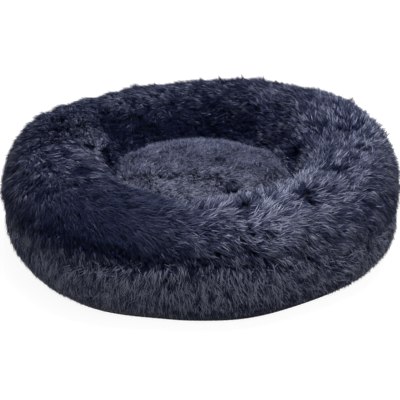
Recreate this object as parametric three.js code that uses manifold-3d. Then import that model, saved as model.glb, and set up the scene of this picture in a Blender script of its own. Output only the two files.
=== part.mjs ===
// A round plush dog bed, in millimetres, standing on z = 0 with its front towards -Y.
// A stuffed ring of long-pile cloth leans over a lower side band and holds a domed seat.
// The cloth underside closes with a zip, and the stuffing goes in and out through it.
import * as THREE from "three";
import { mergeVertices } from "three/addons/utils/BufferGeometryUtils.js";
import Module from "manifold-3d";

const wasm = await Module();
wasm.setup();

// Driving sizes of the bed
const bedRadius = 294; // to the middle of the pile, before the lobes
const nestRadius = 142; // of the ring's inner wall
const crestHeight = 180; // of the ring's top
const bellyHeight = 82; // of the ring's widest line
const peltThickness = 12; // backing cloth with the pile lying on it
const liningThickness = 1;
const baseThickness = 2.5;
const clearance = 0.3; // between pieces that touch

// The seams and the long crease that draw the ring in
const seamDepth = 9;
const creaseHeight = 88; // where the ring's cloth meets the side band
const creaseDepth = 6;

// The seat
const seatSideHeight = 106; // of the seat's rim
const seatDomeRise = 20;
const seatShoulderRise = 10;

// The bound edge round the underside, and the care label sewn into it
const bindingWidth = 7;
const bindingBevel = 2;
const labelWidth = 34;
const labelReach = 30;
const labelThickness = 0.8;
const labelDrop = 6; // how far out the label comes to lie on the floor
const labelDegrees = 105;

// The zip across the underside
const zipLength = 280; // from stop to stop
const zipFloorGap = 1; // under the slider's bail
const hemWidth = 9;
const tapeInset = 2; // from the hem's edge to the tape's
const tapeThickness = 0.8;
const coilWidth = 5.6;
const coilHeight = 2.4;
const sliderLength = 12;
const sliderLip = 1.9; // of the slider past the coils on each side
const sliderWall = 1.3;
const slotSideRoom = 5.3; // from the slider to the hem
const slotEndRoom = 2; // from the pull's tip to the hem when the slider is at its end
const bailLength = 7;
const bailWidth = 2.2;
const bailWall = 1.1;
const pullLength = 27;
const pullWidth = 7;
const pullThickness = 1.2;
const pullRail = 1.5; // of the ring end, beside the bail
const stopLength = 2.4;
const stopHeight = 3.4;
const bridgeWidth = 0.8; // of the web that joins the slider's plates between the coils
const bridgeLength = 5;

// Azimuths, in degrees from +X towards +Y, and lifts, in degrees round the ring's section:
// 0 is the outer belly line, 90 the crest and 180 the nest's wall
const stepDegrees = 6;
const panelSeamDegrees = {
  back: [36, 150],
  left: [150, 264],
  front: [264, 330],
  right: [330, 396],
};
const bandSeamDegrees = { back: [0, 180], front: [180, 360] };
const seamDegrees = [36, 150, 264, 330];
const seamSpreadDegrees = 8;
const creaseSpreadDegrees = 9;
const soleLiftDegrees = -90; // the middle of the ring's sole
const footLiftDegrees = -65; // the lower edge of the side band
const rimLiftDegrees = 172; // where the ring's cloth ends, beside the seat
const thinLiftDegrees = 156; // from here to the rim the seat presses the pile flat
const panelSteps = 14;
const bandSteps = 6;

// Lobes of the stuffing: [azimuth, spread, share of the size that they swell]
const outerLobeShares = [
  [18, 20, 0.06],
  [40, 16, 0.05],
  [128, 18, -0.014],
  [155, 16, 0.04],
  [180, 22, 0.012],
  [230, 22, 0.03],
  [264, 32, -0.138],
  [306, 22, -0.082],
  [342, 16, 0.02],
];
const nestLobeShares = [
  [90, 30, 0.03],
  [180, 30, -0.07],
  [228, 38, -0.17],
];
const crestLobeShares = [
  [32, 16, 0.08],
  [62, 16, 0.06],
  [104, 12, -0.02],
  [158, 14, 0.03],
  [265, 55, -0.065],
];
const creaseLobeShares = [[270, 50, 0.24]];
const sectionPower = 2.3; // 2 is an ellipse, and more is squarer
const domePower = 2;
const shoulderPower = 12;
const outerSeamShare = 0.1; // of the seams' depth that shows on the outside
const crestSeamShare = 0.35;

const radians = THREE.MathUtils.degToRad;
const lerp = THREE.MathUtils.lerp;
const range = (count) => Array.from({ length: count + 1 }, (_, k) => k / count);
const apart = (a, b) => THREE.MathUtils.euclideanModulo(a - b + 180, 360) - 180;
const bell = (distance, spread) => Math.exp(-((distance / spread) ** 2));

// The sum of the lobes at an azimuth, as a share.
function swell(azimuth, lobes) {
  return lobes.reduce((sum, [at, spread, share]) => sum + share * bell(apart(azimuth, at), spread), 0);
}

// The ring's main sizes at an azimuth: outer and nest radius, crest, and the lift of the crease.
function profile(azimuth) {
  const pinch = seamDegrees.reduce((sum, at) => sum + bell(apart(azimuth, at), seamSpreadDegrees), 0);
  const outer = bedRadius * (1 + swell(azimuth, outerLobeShares)) - outerSeamShare * seamDepth * pinch;
  const nest = nestRadius * (1 + swell(azimuth, nestLobeShares)) + seamDepth * pinch;
  const crest = crestHeight * (1 + swell(azimuth, crestLobeShares)) - crestSeamShare * seamDepth * pinch;
  const crease = creaseHeight * (1 + swell(azimuth, creaseLobeShares));
  const above = (crease - bellyHeight) / (crest - bellyHeight);
  const sine = Math.sign(above) * Math.abs(above) ** (sectionPower / 2);
  return { outer, nest, crest, creaseLift: THREE.MathUtils.radToDeg(Math.asin(sine)) };
}

// Radius and height on the ring's section, a squared ellipse drawn in by an inset.
function sectionPoint(azimuth, lift, inset, floor) {
  const { outer, nest, crest, creaseLift } = profile(azimuth);
  const tuck = creaseDepth * bell(lift - creaseLift, creaseSpreadDegrees);
  const [cosine, sine] = [Math.cos(radians(lift)), Math.sin(radians(lift))];
  const rise = sine > 0 ? crest - bellyHeight - inset : bellyHeight - floor;
  const across = Math.sign(cosine) * Math.abs(cosine) ** (2 / sectionPower);
  const up = Math.sign(sine) * Math.abs(sine) ** (2 / sectionPower);
  const halfWidth = (outer - nest) / 2 - inset - tuck;
  return [(outer + nest) / 2 + halfWidth * across, bellyHeight + rise * up];
}

// The lifts of the ring's cloth at an azimuth: up the side band, and over the ring from the crease.
const creaseMargin = THREE.MathUtils.radToDeg(clearance / 2 / (crestHeight - bellyHeight));
const bandLifts = (azimuth) =>
  range(bandSteps).map((share) => lerp(footLiftDegrees, profile(azimuth).creaseLift - creaseMargin, share));
const ringLifts = (azimuth) =>
  range(panelSteps).map((share) => lerp(profile(azimuth).creaseLift + creaseMargin, rimLiftDegrees, share));

// The ring's centre, placed so that the whole bed's plan is centred on the origin.
const allRound = range(360 / stepDegrees).slice(0, -1).map((share) => 360 * share);
function planCentre() {
  const spots = allRound.flatMap((azimuth) =>
    [...bandLifts(azimuth), ...ringLifts(azimuth)].map((lift) => {
      const [radius] = sectionPoint(azimuth, lift, 0, 0);
      return new THREE.Vector2(radius, 0).rotateAround(new THREE.Vector2(), radians(azimuth));
    }),
  );
  return new THREE.Box2().setFromPoints(spots).getCenter(new THREE.Vector2()).negate();
}
const centre = planCentre();

// A point at a radius, azimuth and height about the ring's centre.
function place(azimuth, radius, height) {
  const spot = new THREE.Vector2(radius, 0).rotateAround(new THREE.Vector2(), radians(azimuth)).add(centre);
  return new THREE.Vector3(spot.x, spot.y, height);
}

// How thick the pelt is at a lift: pressed flat where the seat meets it.
function peltAt(lift) {
  const pressed = THREE.MathUtils.smoothstep(lift, thinLiftDegrees, rimLiftDegrees);
  return lerp(peltThickness, liningThickness, pressed);
}

// A closed body from rows of points: quads join neighbours, and each open end gets a cap.
function bodyFromLoops(loops, closed) {
  const size = loops[0].length;
  const index = [];
  const rows = closed ? loops.length : loops.length - 1;
  for (let row = 0; row < rows; row += 1) {
    const next = ((row + 1) % loops.length) * size;
    for (let spot = 0; spot < size; spot += 1) {
      const after = (spot + 1) % size;
      const [a, b] = [row * size + spot, row * size + after];
      const [c, d] = [next + after, next + spot];
      index.push(a, b, c, a, c, d);
    }
  }
  if (!closed) index.push(...stripCap(0, size, false), ...stripCap(rows * size, size, true));
  return facingOut(loops.flat(), index);
}

// Triangles across a loop that runs out along one side of a wall and back along the other.
function stripCap(first, size, flip) {
  const index = [];
  const last = first + size - 1;
  for (let k = 0; k < size / 2 - 1; k += 1) {
    const [a, b] = [first + k, first + k + 1];
    const [c, d] = [last - k - 1, last - k];
    index.push(...(flip ? [a, b, c, a, c, d] : [a, c, b, a, d, c]));
  }
  return index;
}

// A geometry of those points and triangles, turned so that its faces point out.
function facingOut(points, index) {
  const volume = index.reduce((sum, _, k) => {
    if (k % 3) return sum;
    const [a, b, c] = [points[index[k]], points[index[k + 1]], points[index[k + 2]]];
    return sum + a.dot(new THREE.Vector3().crossVectors(b, c));
  }, 0);
  if (volume < 0) index.reverse();
  const geometry = new THREE.BufferGeometry().setFromPoints(points);
  geometry.setIndex(index);
  geometry.computeVertexNormals();
  return geometry;
}

// manifold-3d joins and cuts closed geometries.
function toSolid(geometry) {
  const bare = geometry.clone();
  bare.deleteAttribute("normal");
  bare.deleteAttribute("uv");
  const merged = mergeVertices(bare);
  return new wasm.Manifold(
    new wasm.Mesh({
      numProp: 3,
      vertProperties: merged.attributes.position.array,
      triVerts: new Uint32Array(merged.index.array),
    }),
  );
}

function fromSolid(solid) {
  const mesh = solid.getMesh();
  const geometry = new THREE.BufferGeometry();
  geometry.setAttribute("position", new THREE.BufferAttribute(mesh.vertProperties, 3));
  geometry.setIndex(new THREE.BufferAttribute(mesh.triVerts, 1));
  geometry.computeVertexNormals();
  return geometry;
}

// A box between two corners.
function block(low, high) {
  const size = high.map((value, axis) => value - low[axis]);
  const middle = high.map((value, axis) => (value + low[axis]) / 2);
  return new THREE.BoxGeometry(...size).translate(...middle);
}

function joined(...geometries) {
  return fromSolid(geometries.map(toSolid).reduce((whole, piece) => whole.add(piece)));
}

function cut(geometry, ...tools) {
  return fromSolid(tools.map(toSolid).reduce((whole, tool) => whole.subtract(tool), toSolid(geometry)));
}

// Azimuths from one seam to the next, with half the clearance left at each end.
const seamMargin = THREE.MathUtils.radToDeg(clearance / 2 / nestRadius);
function seamToSeam([first, last]) {
  const columns = Math.round((last - first) / stepDegrees);
  return range(columns).map((share) => lerp(first + seamMargin, last - seamMargin, share));
}

const shellFloor = baseThickness + clearance;
const stuffingFloor = shellFloor + clearance;

// A sector of long-pile cloth between two seams, over the lifts that liftsAt gives:
// the ring's, from the crease over the crest to the seat, or the side band's below it.
function pelt(seams, liftsAt) {
  const loops = seamToSeam(seams).map((azimuth) => {
    const lifts = liftsAt(azimuth);
    const outside = lifts.map((lift) => place(azimuth, ...sectionPoint(azimuth, lift, 0, 0)));
    const inside = lifts.map((lift) =>
      place(azimuth, ...sectionPoint(azimuth, lift, peltAt(lift), shellFloor)),
    );
    return [...outside, ...inside.reverse()];
  });
  return bodyFromLoops(loops, false);
}

const rimHeight = (azimuth) => sectionPoint(azimuth, rimLiftDegrees, 0, 0)[1];
const wallInner = (azimuth) => profile(azimuth).nest + clearance;
const wallOuter = (azimuth) => wallInner(azimuth) + liningThickness;

// The room that the hem and the zip take from what lies on the underside.
function zipRoom() {
  const halfLength = slotHalfLength + hemWidth + clearance;
  const halfWidth = slotHalfWidth + hemWidth + clearance;
  return block([-halfLength, -halfWidth, -clearance], [halfLength, halfWidth, sliderTop + clearance]);
}

// The fibre stuffing of the ring: it fills the cloth and stands on the underside.
function ringStuffing() {
  const loops = allRound.map((azimuth) => {
    const sole = [soleLiftDegrees, (soleLiftDegrees + footLiftDegrees) / 2];
    const lifts = [...sole, ...bandLifts(azimuth), ...ringLifts(azimuth)];
    const skin = lifts.map((lift) =>
      place(azimuth, ...sectionPoint(azimuth, lift, peltAt(lift) + clearance, stuffingFloor)),
    );
    const wall = wallOuter(azimuth) + clearance;
    return [...skin, place(azimuth, wall, bellyHeight), place(azimuth, wall, stuffingFloor)];
  });
  return cut(bodyFromLoops(loops, true), zipRoom());
}

// The upright strip of lining between the ring's stuffing and the seat's.
function chamberWall() {
  const loops = allRound.map((azimuth) => {
    const top = rimHeight(azimuth) - clearance;
    return [
      place(azimuth, wallInner(azimuth), shellFloor),
      place(azimuth, wallOuter(azimuth), shellFloor),
      place(azimuth, wallOuter(azimuth), top),
      place(azimuth, wallInner(azimuth), top),
    ];
  });
  return cut(bodyFromLoops(loops, true), zipRoom());
}

// Height of the seat's top at a share of its radius.
function seatTop(share) {
  const dome = seatDomeRise * (1 - share ** domePower);
  const shoulder = seatShoulderRise * (1 - share ** shoulderPower);
  return seatSideHeight + dome + shoulder;
}

// A round pad between two heights that depend on the share of its radius.
const padShares = [0.25, 0.5, 0.7, 0.85, 0.94, 1];
function roundPad(topAt, bottomAt) {
  const ringAt = (share, height) =>
    allRound.map((azimuth) => place(azimuth, share * (profile(azimuth).nest - clearance), height));
  const top = padShares.flatMap((share) => ringAt(share, topAt(share)));
  const bottom = [...padShares].reverse().flatMap((share) => ringAt(share, bottomAt(share)));
  const poles = [place(0, 0, topAt(0)), place(0, 0, bottomAt(0))];
  const turns = allRound.length;
  const index = [];
  const at = (ring, turn) => poles.length + ring * turns + (turn % turns);
  const rings = 2 * padShares.length;
  for (let turn = 0; turn < turns; turn += 1) {
    index.push(0, at(0, turn), at(0, turn + 1));
    index.push(1, at(rings - 1, turn + 1), at(rings - 1, turn));
    for (let ring = 0; ring < rings - 1; ring += 1) {
      const [a, b] = [at(ring, turn), at(ring + 1, turn)];
      const [c, d] = [at(ring + 1, turn + 1), at(ring, turn + 1)];
      index.push(a, b, c, a, c, d);
    }
  }
  return facingOut([...poles, ...top, ...bottom], index);
}

// Heights of the zip's layers, from the floor up
const bailRoom = pullThickness + 2 * clearance;
const bailLow = zipFloorGap;
const sliderLow = bailLow + bailWall + bailRoom;
const coilLow = sliderLow + sliderWall + clearance;
const coilTop = coilLow + coilHeight;
const sliderTop = coilTop + clearance + sliderWall;
const zipMiddle = (coilLow + coilTop) / 2;
const tapeLow = zipMiddle - tapeThickness / 2;
const tapeTop = zipMiddle + tapeThickness / 2;
const hemTop = tapeLow - clearance;
const pullHeight = sliderLow - clearance - pullThickness / 2;

// Lengths and widths of the zip, and of the slot in the underside that shows it
const sliderWidth = coilWidth + 2 * sliderLip;
const sliderHome = zipLength / 2 - sliderLength / 2 - clearance;
const slotHalfLength = sliderHome + pullLength + slotEndRoom;
const slotHalfWidth = sliderWidth / 2 + slotSideRoom;
const tapeOuter = slotHalfWidth + hemWidth - tapeInset;
const tapeInner = coilWidth / 2 + clearance;

// The stuffing under the seat, hollowed over the zip.
function seatStuffing() {
  const pad = roundPad((share) => seatTop(share) - peltThickness - clearance, () => stuffingFloor);
  return cut(pad, zipRoom());
}

// The underside's edge: the foot of the side band, less the binding round it.
const footRadius = (azimuth) => sectionPoint(azimuth, footLiftDegrees, 0, 0)[0];
const footHeight = (azimuth) => sectionPoint(azimuth, footLiftDegrees, 0, 0)[1];
const panelRadius = (azimuth) => footRadius(azimuth) - bindingWidth - clearance;

// Half of the cloth underside: side is 1 behind the zip and -1 in front of it.
function basePanel(side) {
  const rim = allRound.map((azimuth) => place(azimuth, panelRadius(azimuth), 0));
  const outline = new THREE.Shape(rim.map(({ x, y }) => new THREE.Vector2(x, y)));
  const disc = new THREE.ExtrudeGeometry(outline, { depth: baseThickness, bevelEnabled: false });
  const [hemEnd, hemEdge] = [slotHalfLength + hemWidth, side * (slotHalfWidth + hemWidth)];
  const seamEdge = (side * clearance) / 2;
  const [low, high] = [Math.min(seamEdge, hemEdge), Math.max(seamEdge, hemEdge)];
  const hem = block([-hemEnd, low, 0], [hemEnd, high, hemTop]);
  const slot = block(
    [-slotHalfLength, -slotHalfWidth, -clearance],
    [slotHalfLength, slotHalfWidth, hemTop + clearance],
  );
  const reach = 2 * bedRadius;
  const [near, far] = side > 0 ? [-reach, seamEdge] : [seamEdge, reach];
  const otherHalf = block([-reach, near, -clearance], [reach, far, hemTop + clearance]);
  return cut(joined(disc, hem), slot, otherHalf);
}

// The bound edge: a bevelled strip round the underside, below the band's foot.
function baseBinding() {
  const loops = allRound.map((azimuth) => {
    const outer = footRadius(azimuth);
    const inner = outer - bindingWidth;
    const top = footHeight(azimuth) - clearance;
    return [
      [inner, 0],
      [outer - bindingBevel, 0],
      [outer, bindingBevel],
      [outer, top - bindingBevel],
      [outer - bindingBevel, top],
      [inner, top],
    ].map(([radius, height]) => place(azimuth, radius, height));
  });
  return bodyFromLoops(loops, true);
}

// A blank care label behind the bed: it comes out of the binding's seam and drops to the floor.
function careLabel() {
  const start = footRadius(labelDegrees) + clearance;
  const seam = footHeight(labelDegrees) / 2;
  const side = new THREE.Shape([
    new THREE.Vector2(start, seam),
    new THREE.Vector2(start + labelDrop, clearance),
    new THREE.Vector2(start + labelReach, clearance),
    new THREE.Vector2(start + labelReach, clearance + labelThickness),
    new THREE.Vector2(start + labelDrop, clearance + labelThickness),
    new THREE.Vector2(start, seam + labelThickness),
  ]);
  const label = new THREE.ExtrudeGeometry(side, { depth: labelWidth, bevelEnabled: false });
  label.translate(0, 0, -labelWidth / 2).rotateX(radians(90));
  return label.rotateZ(radians(labelDegrees)).translate(centre.x, centre.y, 0);
}

// Half of the zip's tape: side is 1 behind the coil and -1 in front of it.
function zipTape(side) {
  const [near, far] = [side * tapeInner, side * tapeOuter];
  return block(
    [-slotHalfLength, Math.min(near, far), tapeLow],
    [slotHalfLength, Math.max(near, far), tapeTop],
  );
}

// One of the two coils that mesh when the zip is closed, drawn clear of the slider's bridge.
function zipCoil(side) {
  const [near, far] = [side * (bridgeWidth / 2 + clearance), (side * coilWidth) / 2];
  return block(
    [-zipLength / 2, Math.min(near, far), coilLow],
    [zipLength / 2, Math.max(near, far), coilTop],
  );
}

// A crimped stop at one end of the coils.
function zipStop(end) {
  const middle = end * (zipLength / 2 + clearance + stopLength / 2);
  return block(
    [middle - stopLength / 2, -coilWidth / 2, zipMiddle - stopHeight / 2],
    [middle + stopLength / 2, coilWidth / 2, zipMiddle + stopHeight / 2],
  );
}

// The slider: two plates that run on the coils, a bridge between them, and a bail for the pull.
function zipSlider() {
  const [end, side] = [sliderLength / 2, sliderWidth / 2];
  const plates = block([-end, -side, sliderLow], [end, side, sliderTop]);
  const coilRoom = block(
    [-end - clearance, -coilWidth / 2 - clearance, coilLow - clearance],
    [end + clearance, coilWidth / 2 + clearance, coilTop + clearance],
  );
  const tapeRoom = block(
    [-end - clearance, -side - clearance, tapeLow - clearance],
    [end + clearance, side + clearance, tapeTop + clearance],
  );
  const bridge = block(
    [end - bridgeLength, -bridgeWidth / 2, sliderLow + sliderWall / 2],
    [end, bridgeWidth / 2, sliderTop - sliderWall / 2],
  );
  const bail = block(
    [-bailLength / 2, -bailWidth / 2, bailLow],
    [bailLength / 2, bailWidth / 2, sliderLow + sliderWall / 2],
  );
  const bailHole = block(
    [-bailLength / 2 + bailWall, -bailWidth, sliderLow - bailRoom],
    [bailLength / 2 - bailWall, bailWidth, sliderLow],
  );
  return joined(cut(joined(plates, bail), coilRoom, tapeRoom, bailHole), bridge);
}

// The pull: a plate whose ring end goes round the bail, drawn about its own hinge.
function zipPull() {
  const [halfWidth, halfThickness] = [pullWidth / 2, pullThickness / 2];
  const plate = block(
    [-pullLength, -halfWidth, -halfThickness],
    [halfThickness, halfWidth, halfThickness],
  );
  const window = block(
    [-bailLength, -bailWidth / 2 - clearance, -pullThickness],
    [-halfThickness, bailWidth / 2 + clearance, pullThickness],
  );
  const hole = block(
    [pullRail - pullLength, pullRail - halfWidth, -pullThickness],
    [pullRail + pullWidth / 2 - pullLength, halfWidth - pullRail, pullThickness],
  );
  return cut(plate, window, hole);
}

// Colours of the cloths and fittings
const materials = {
  pile: new THREE.MeshStandardMaterial({ color: 0x343a50, roughness: 0.85, metalness: 0 }),
  fibre: new THREE.MeshStandardMaterial({ color: 0xe8e8e4, roughness: 0.95, metalness: 0 }),
  lining: new THREE.MeshStandardMaterial({ color: 0x2a2d38, roughness: 0.9, metalness: 0 }),
  underside: new THREE.MeshStandardMaterial({ color: 0x17181d, roughness: 0.8, metalness: 0 }),
  label: new THREE.MeshStandardMaterial({ color: 0xe9e7e0, roughness: 0.6, metalness: 0 }),
  zipCloth: new THREE.MeshStandardMaterial({ color: 0x1a1c24, roughness: 0.8, metalness: 0 }),
  nylon: new THREE.MeshStandardMaterial({ color: 0x15161c, roughness: 0.45, metalness: 0 }),
  metal: new THREE.MeshStandardMaterial({ color: 0x8a8c90, roughness: 0.35, metalness: 1 }),
};

const bed = new THREE.Group();

function add(name, geometry, material) {
  const mesh = new THREE.Mesh(geometry, material);
  mesh.name = name;
  bed.add(mesh);
  return mesh;
}

Object.entries(panelSeamDegrees).forEach(([name, seams]) => {
  add(`ring_panel_${name}`, pelt(seams, ringLifts), materials.pile);
});
Object.entries(bandSeamDegrees).forEach(([name, seams]) => {
  add(`side_band_${name}`, pelt(seams, bandLifts), materials.pile);
});
add("seat_panel", roundPad(seatTop, (share) => seatTop(share) - peltThickness), materials.pile);
add("ring_stuffing", ringStuffing(), materials.fibre);
add("seat_stuffing", seatStuffing(), materials.fibre);
add("chamber_wall", chamberWall(), materials.lining);
add("base_binding", baseBinding(), materials.underside);
add("care_label", careLabel(), materials.label);
Object.entries({ back: 1, front: -1 }).forEach(([name, side]) => {
  add(`base_panel_${name}`, basePanel(side), materials.underside);
  add(`zip_tape_${name}`, zipTape(side), materials.zipCloth);
  add(`zip_coil_${name}`, zipCoil(side), materials.nylon);
});
add("zip_stop_left", zipStop(-1), materials.metal);
add("zip_stop_right", zipStop(1), materials.metal);
add("zip_slider", zipSlider(), materials.metal).position.x = sliderHome;
add("zip_pull", zipPull(), materials.metal).position.set(sliderHome, 0, pullHeight);

export default bed;
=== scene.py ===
# %% [markdown]
# # A round plush dog bed
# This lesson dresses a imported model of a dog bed: a stuffed ring of long-pile cloth round a domed
# seat, on a cloth underside with a zip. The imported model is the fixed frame. Each soft piece gets a
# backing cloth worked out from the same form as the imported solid, and thousands of small tapered
# strands that stand for the pile. All lengths are in metres, and millimetres are written as n * mm.

# %% Load the frame
import math

import bpy
import numpy as np
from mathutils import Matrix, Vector


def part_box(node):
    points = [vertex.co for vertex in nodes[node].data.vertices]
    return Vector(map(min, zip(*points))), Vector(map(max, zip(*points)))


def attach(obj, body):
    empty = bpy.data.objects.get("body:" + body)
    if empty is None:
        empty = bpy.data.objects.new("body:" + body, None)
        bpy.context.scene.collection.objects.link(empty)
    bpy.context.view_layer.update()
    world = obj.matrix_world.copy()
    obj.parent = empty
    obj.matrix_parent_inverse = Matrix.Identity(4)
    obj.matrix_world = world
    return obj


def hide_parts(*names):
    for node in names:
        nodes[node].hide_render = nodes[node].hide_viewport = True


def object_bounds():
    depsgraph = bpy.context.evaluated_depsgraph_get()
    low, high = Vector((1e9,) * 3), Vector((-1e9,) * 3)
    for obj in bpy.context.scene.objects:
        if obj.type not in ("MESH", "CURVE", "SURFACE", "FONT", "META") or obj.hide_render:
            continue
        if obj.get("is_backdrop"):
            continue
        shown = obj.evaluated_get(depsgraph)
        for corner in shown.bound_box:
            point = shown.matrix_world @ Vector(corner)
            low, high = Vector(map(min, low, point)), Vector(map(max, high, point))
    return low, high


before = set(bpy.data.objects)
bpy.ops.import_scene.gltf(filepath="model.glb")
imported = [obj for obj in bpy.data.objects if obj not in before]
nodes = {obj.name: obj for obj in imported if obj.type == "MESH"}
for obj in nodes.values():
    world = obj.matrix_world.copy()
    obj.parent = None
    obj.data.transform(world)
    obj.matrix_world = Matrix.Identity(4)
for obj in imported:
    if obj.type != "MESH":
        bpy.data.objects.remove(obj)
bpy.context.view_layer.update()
mm = 0.001

# %% [markdown]
# ## The form of the ring
# The ring's section is a squared ellipse that changes round the bed: it swells where the stuffing
# has gathered and draws in at the seams and at the long crease. Every soft piece reads the same few
# functions, so cloth, stuffing and pile agree wherever they meet. An azimuth is in degrees from +X
# towards +Y. A lift is in degrees round the section: 0 at the outer belly, 90 at the crest and 180
# at the nest's wall.

# %% Sizes and lobes of the ring
bed_radius = 294 * mm
nest_radius = 142 * mm
crest_height = 180 * mm
belly_height = 82 * mm
crease_height = 88 * mm
crease_depth = 6 * mm
seam_depth = 9 * mm
base_thickness = 2.5 * mm
clearance = 0.3 * mm
seat_side_height = 106 * mm
seat_dome_rise = 20 * mm
seat_shoulder_rise = 10 * mm

seam_degrees = (36, 150, 264, 330)
seam_spread_degrees = 8
crease_spread_degrees = 9
foot_lift = -65
rim_lift = 172
section_power = 2.3
outer_seam_share = 0.1
crest_seam_share = 0.35

# Lobes are (azimuth, spread, share of the size that they swell).
outer_lobe_shares = (
    (18, 20, 0.06), (40, 16, 0.05), (128, 18, -0.014), (155, 16, 0.04), (180, 22, 0.012),
    (230, 22, 0.03), (264, 32, -0.138), (306, 22, -0.082), (342, 16, 0.02),
)
nest_lobe_shares = ((90, 30, 0.03), (180, 30, -0.07), (228, 38, -0.17))
crest_lobe_shares = (
    (32, 16, 0.08), (62, 16, 0.06), (104, 12, -0.02), (158, 14, 0.03), (265, 55, -0.065),
)
crease_lobe_shares = ((270, 50, 0.24),)


def bell(distance, spread):
    """A smooth bump: e to the minus square of distance over spread."""
    return np.exp(-((distance / spread) ** 2))


def apart(azimuth, other):
    """The signed angle from other to azimuth, from -180 to 180 degrees."""
    return (azimuth - other + 180) % 360 - 180


def swell(azimuth, lobes):
    """The sum of the lobes at an azimuth."""
    return sum(share * bell(apart(azimuth, at), spread) for at, spread, share in lobes)


def signed_power(value, power):
    """The value's size to a power, with its sign kept."""
    return np.sign(value) * np.abs(value) ** power


def profile(azimuth):
    """Outer radius, nest radius, crest height and the crease's lift at each azimuth."""
    pinch = sum(bell(apart(azimuth, at), seam_spread_degrees) for at in seam_degrees)
    outer = bed_radius * (1 + swell(azimuth, outer_lobe_shares))
    outer = outer - outer_seam_share * seam_depth * pinch
    nest = nest_radius * (1 + swell(azimuth, nest_lobe_shares)) + seam_depth * pinch
    crest = crest_height * (1 + swell(azimuth, crest_lobe_shares))
    crest = crest - crest_seam_share * seam_depth * pinch
    crease = crease_height * (1 + swell(azimuth, crease_lobe_shares))
    sine = signed_power((crease - belly_height) / (crest - belly_height), section_power / 2)
    return outer, nest, crest, np.degrees(np.arcsin(sine))


ring_centre = np.zeros(3)


def place(azimuth, radius, height):
    """Points at a radius, azimuth and height about the ring's centre."""
    angle = np.radians(azimuth)
    flat = np.stack([radius * np.cos(angle), radius * np.sin(angle), height + 0 * radius], -1)
    return flat + ring_centre


def ring_surface(azimuth, lift, inset=0.0, floor=0.0):
    """Points of the ring's skin drawn in by an inset: radius is the middle radius plus a half width
    times the cosine to the power 2 / n, and height is the belly's plus a rise times the sine
    likewise. The half width is drawn in at the crease by a bump."""
    outer, nest, crest, crease_lift = profile(azimuth)
    tuck = crease_depth * bell(lift - crease_lift, crease_spread_degrees)
    turn = np.radians(lift)
    across = signed_power(np.cos(turn), 2 / section_power)
    up = signed_power(np.sin(turn), 2 / section_power)
    rise = np.where(up > 0, crest - belly_height - inset, belly_height - floor)
    half_width = (outer - nest) / 2 - inset - tuck
    return place(azimuth, (outer + nest) / 2 + half_width * across, belly_height + rise * up)


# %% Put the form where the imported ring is
pelts = [name for name in nodes if name.startswith(("ring_panel", "side_band"))]
corners = np.array([[list(corner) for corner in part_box(name)] for name in pelts])
packed_middle = (corners[:, 0].min(0) + corners[:, 1].max(0)) / 2
all_azimuths, all_lifts = np.meshgrid(np.arange(0, 360, 0.5), np.arange(foot_lift, rim_lift, 1.0))
formed = ring_surface(all_azimuths, all_lifts).reshape(-1, 3)
ring_centre[:2] = (packed_middle - (formed.min(0) + formed.max(0)) / 2)[:2]
print("ring centre at", np.round(ring_centre[:2] / mm, 1), "mm; ring is",
      np.round(np.ptp(formed, axis=0) / mm), "mm")

# %% [markdown]
# ## The camera
# The photograph looks down at the bed from 27 degrees above the floor, from about 1.6 m away. Seen
# from there a millimetre at the ring's centre is 0.65 of a pixel in a picture 400 pixels wide, which
# sets the lens. Raising or turning the camera by eye would work too, but these few numbers can be
# checked against the outline of the bed.

# %% Camera
picture_pixels = 400
pixels_per_metre = 650
camera_distance = 1.6
camera_elevation = math.radians(27)
look_height = 80 * mm
look_offset = np.array([1.0, -3.0]) / pixels_per_metre  # right and up, from the ring's centre

camera_right = np.array([1, 0, 0])
away = np.array([0, -math.cos(camera_elevation), math.sin(camera_elevation)])
camera_up = np.array([0, math.sin(camera_elevation), math.cos(camera_elevation)])
look_at = ring_centre + [0, 0, look_height]
look_at = look_at + look_offset[0] * camera_right + look_offset[1] * camera_up

camera_data = bpy.data.cameras.new("photo_camera")
camera_data.sensor_width = 36
camera_data.lens = camera_data.sensor_width * pixels_per_metre * camera_distance / picture_pixels
camera = bpy.data.objects.new("photo_camera", camera_data)
camera.location = look_at + camera_distance * away
camera.rotation_euler = (math.pi / 2 - camera_elevation, 0, 0)
bpy.context.scene.collection.objects.link(camera)
bpy.context.scene.camera = camera
print("lens", round(camera_data.lens, 1), "mm")

# %% [markdown]
# ## Helpers for meshes
# Each surface here is a grid of points worked out with numpy. A grid becomes a mesh by joining
# neighbours, and two grids make a closed cloth by joining their rims. Writing the arrays straight
# into the mesh is much quicker than adding vertices one by one.

# %% Mesh helpers


def new_piece(name, points, faces, material, smooth=True):
    """A mesh piece at the origin from an array of points and an array of equal-sided faces."""
    mesh = bpy.data.meshes.new(name)
    faces = np.asarray(faces, np.int32)
    count, sides = faces.shape
    mesh.vertices.add(len(points))
    mesh.vertices.foreach_set("co", np.asarray(points, np.float32).ravel())
    mesh.loops.add(count * sides)
    mesh.loops.foreach_set("vertex_index", faces.ravel())
    mesh.polygons.add(count)
    mesh.polygons.foreach_set("loop_start", np.arange(0, count * sides, sides, dtype=np.int32))
    mesh.polygons.foreach_set("use_smooth", np.full(count, smooth))
    mesh.update(calc_edges=True)
    mesh.validate()
    mesh.materials.append(material)
    piece = bpy.data.objects.new(name, mesh)
    bpy.context.scene.collection.objects.link(piece)
    return piece


def grid_faces(rows, columns, wrap_rows=False, wrap_columns=False, first=0):
    """Four-sided faces between the neighbours of a grid of rows by columns."""
    row = np.arange(rows if wrap_rows else rows - 1)[:, None]
    column = np.arange(columns if wrap_columns else columns - 1)[None, :]
    below, beside = (row + 1) % rows, (column + 1) % columns
    quads = [row * columns + column, row * columns + beside, below * columns + beside,
             below * columns + column]
    return first + np.stack([quad + 0 * (row + column) for quad in quads], -1).reshape(-1, 4)


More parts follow.
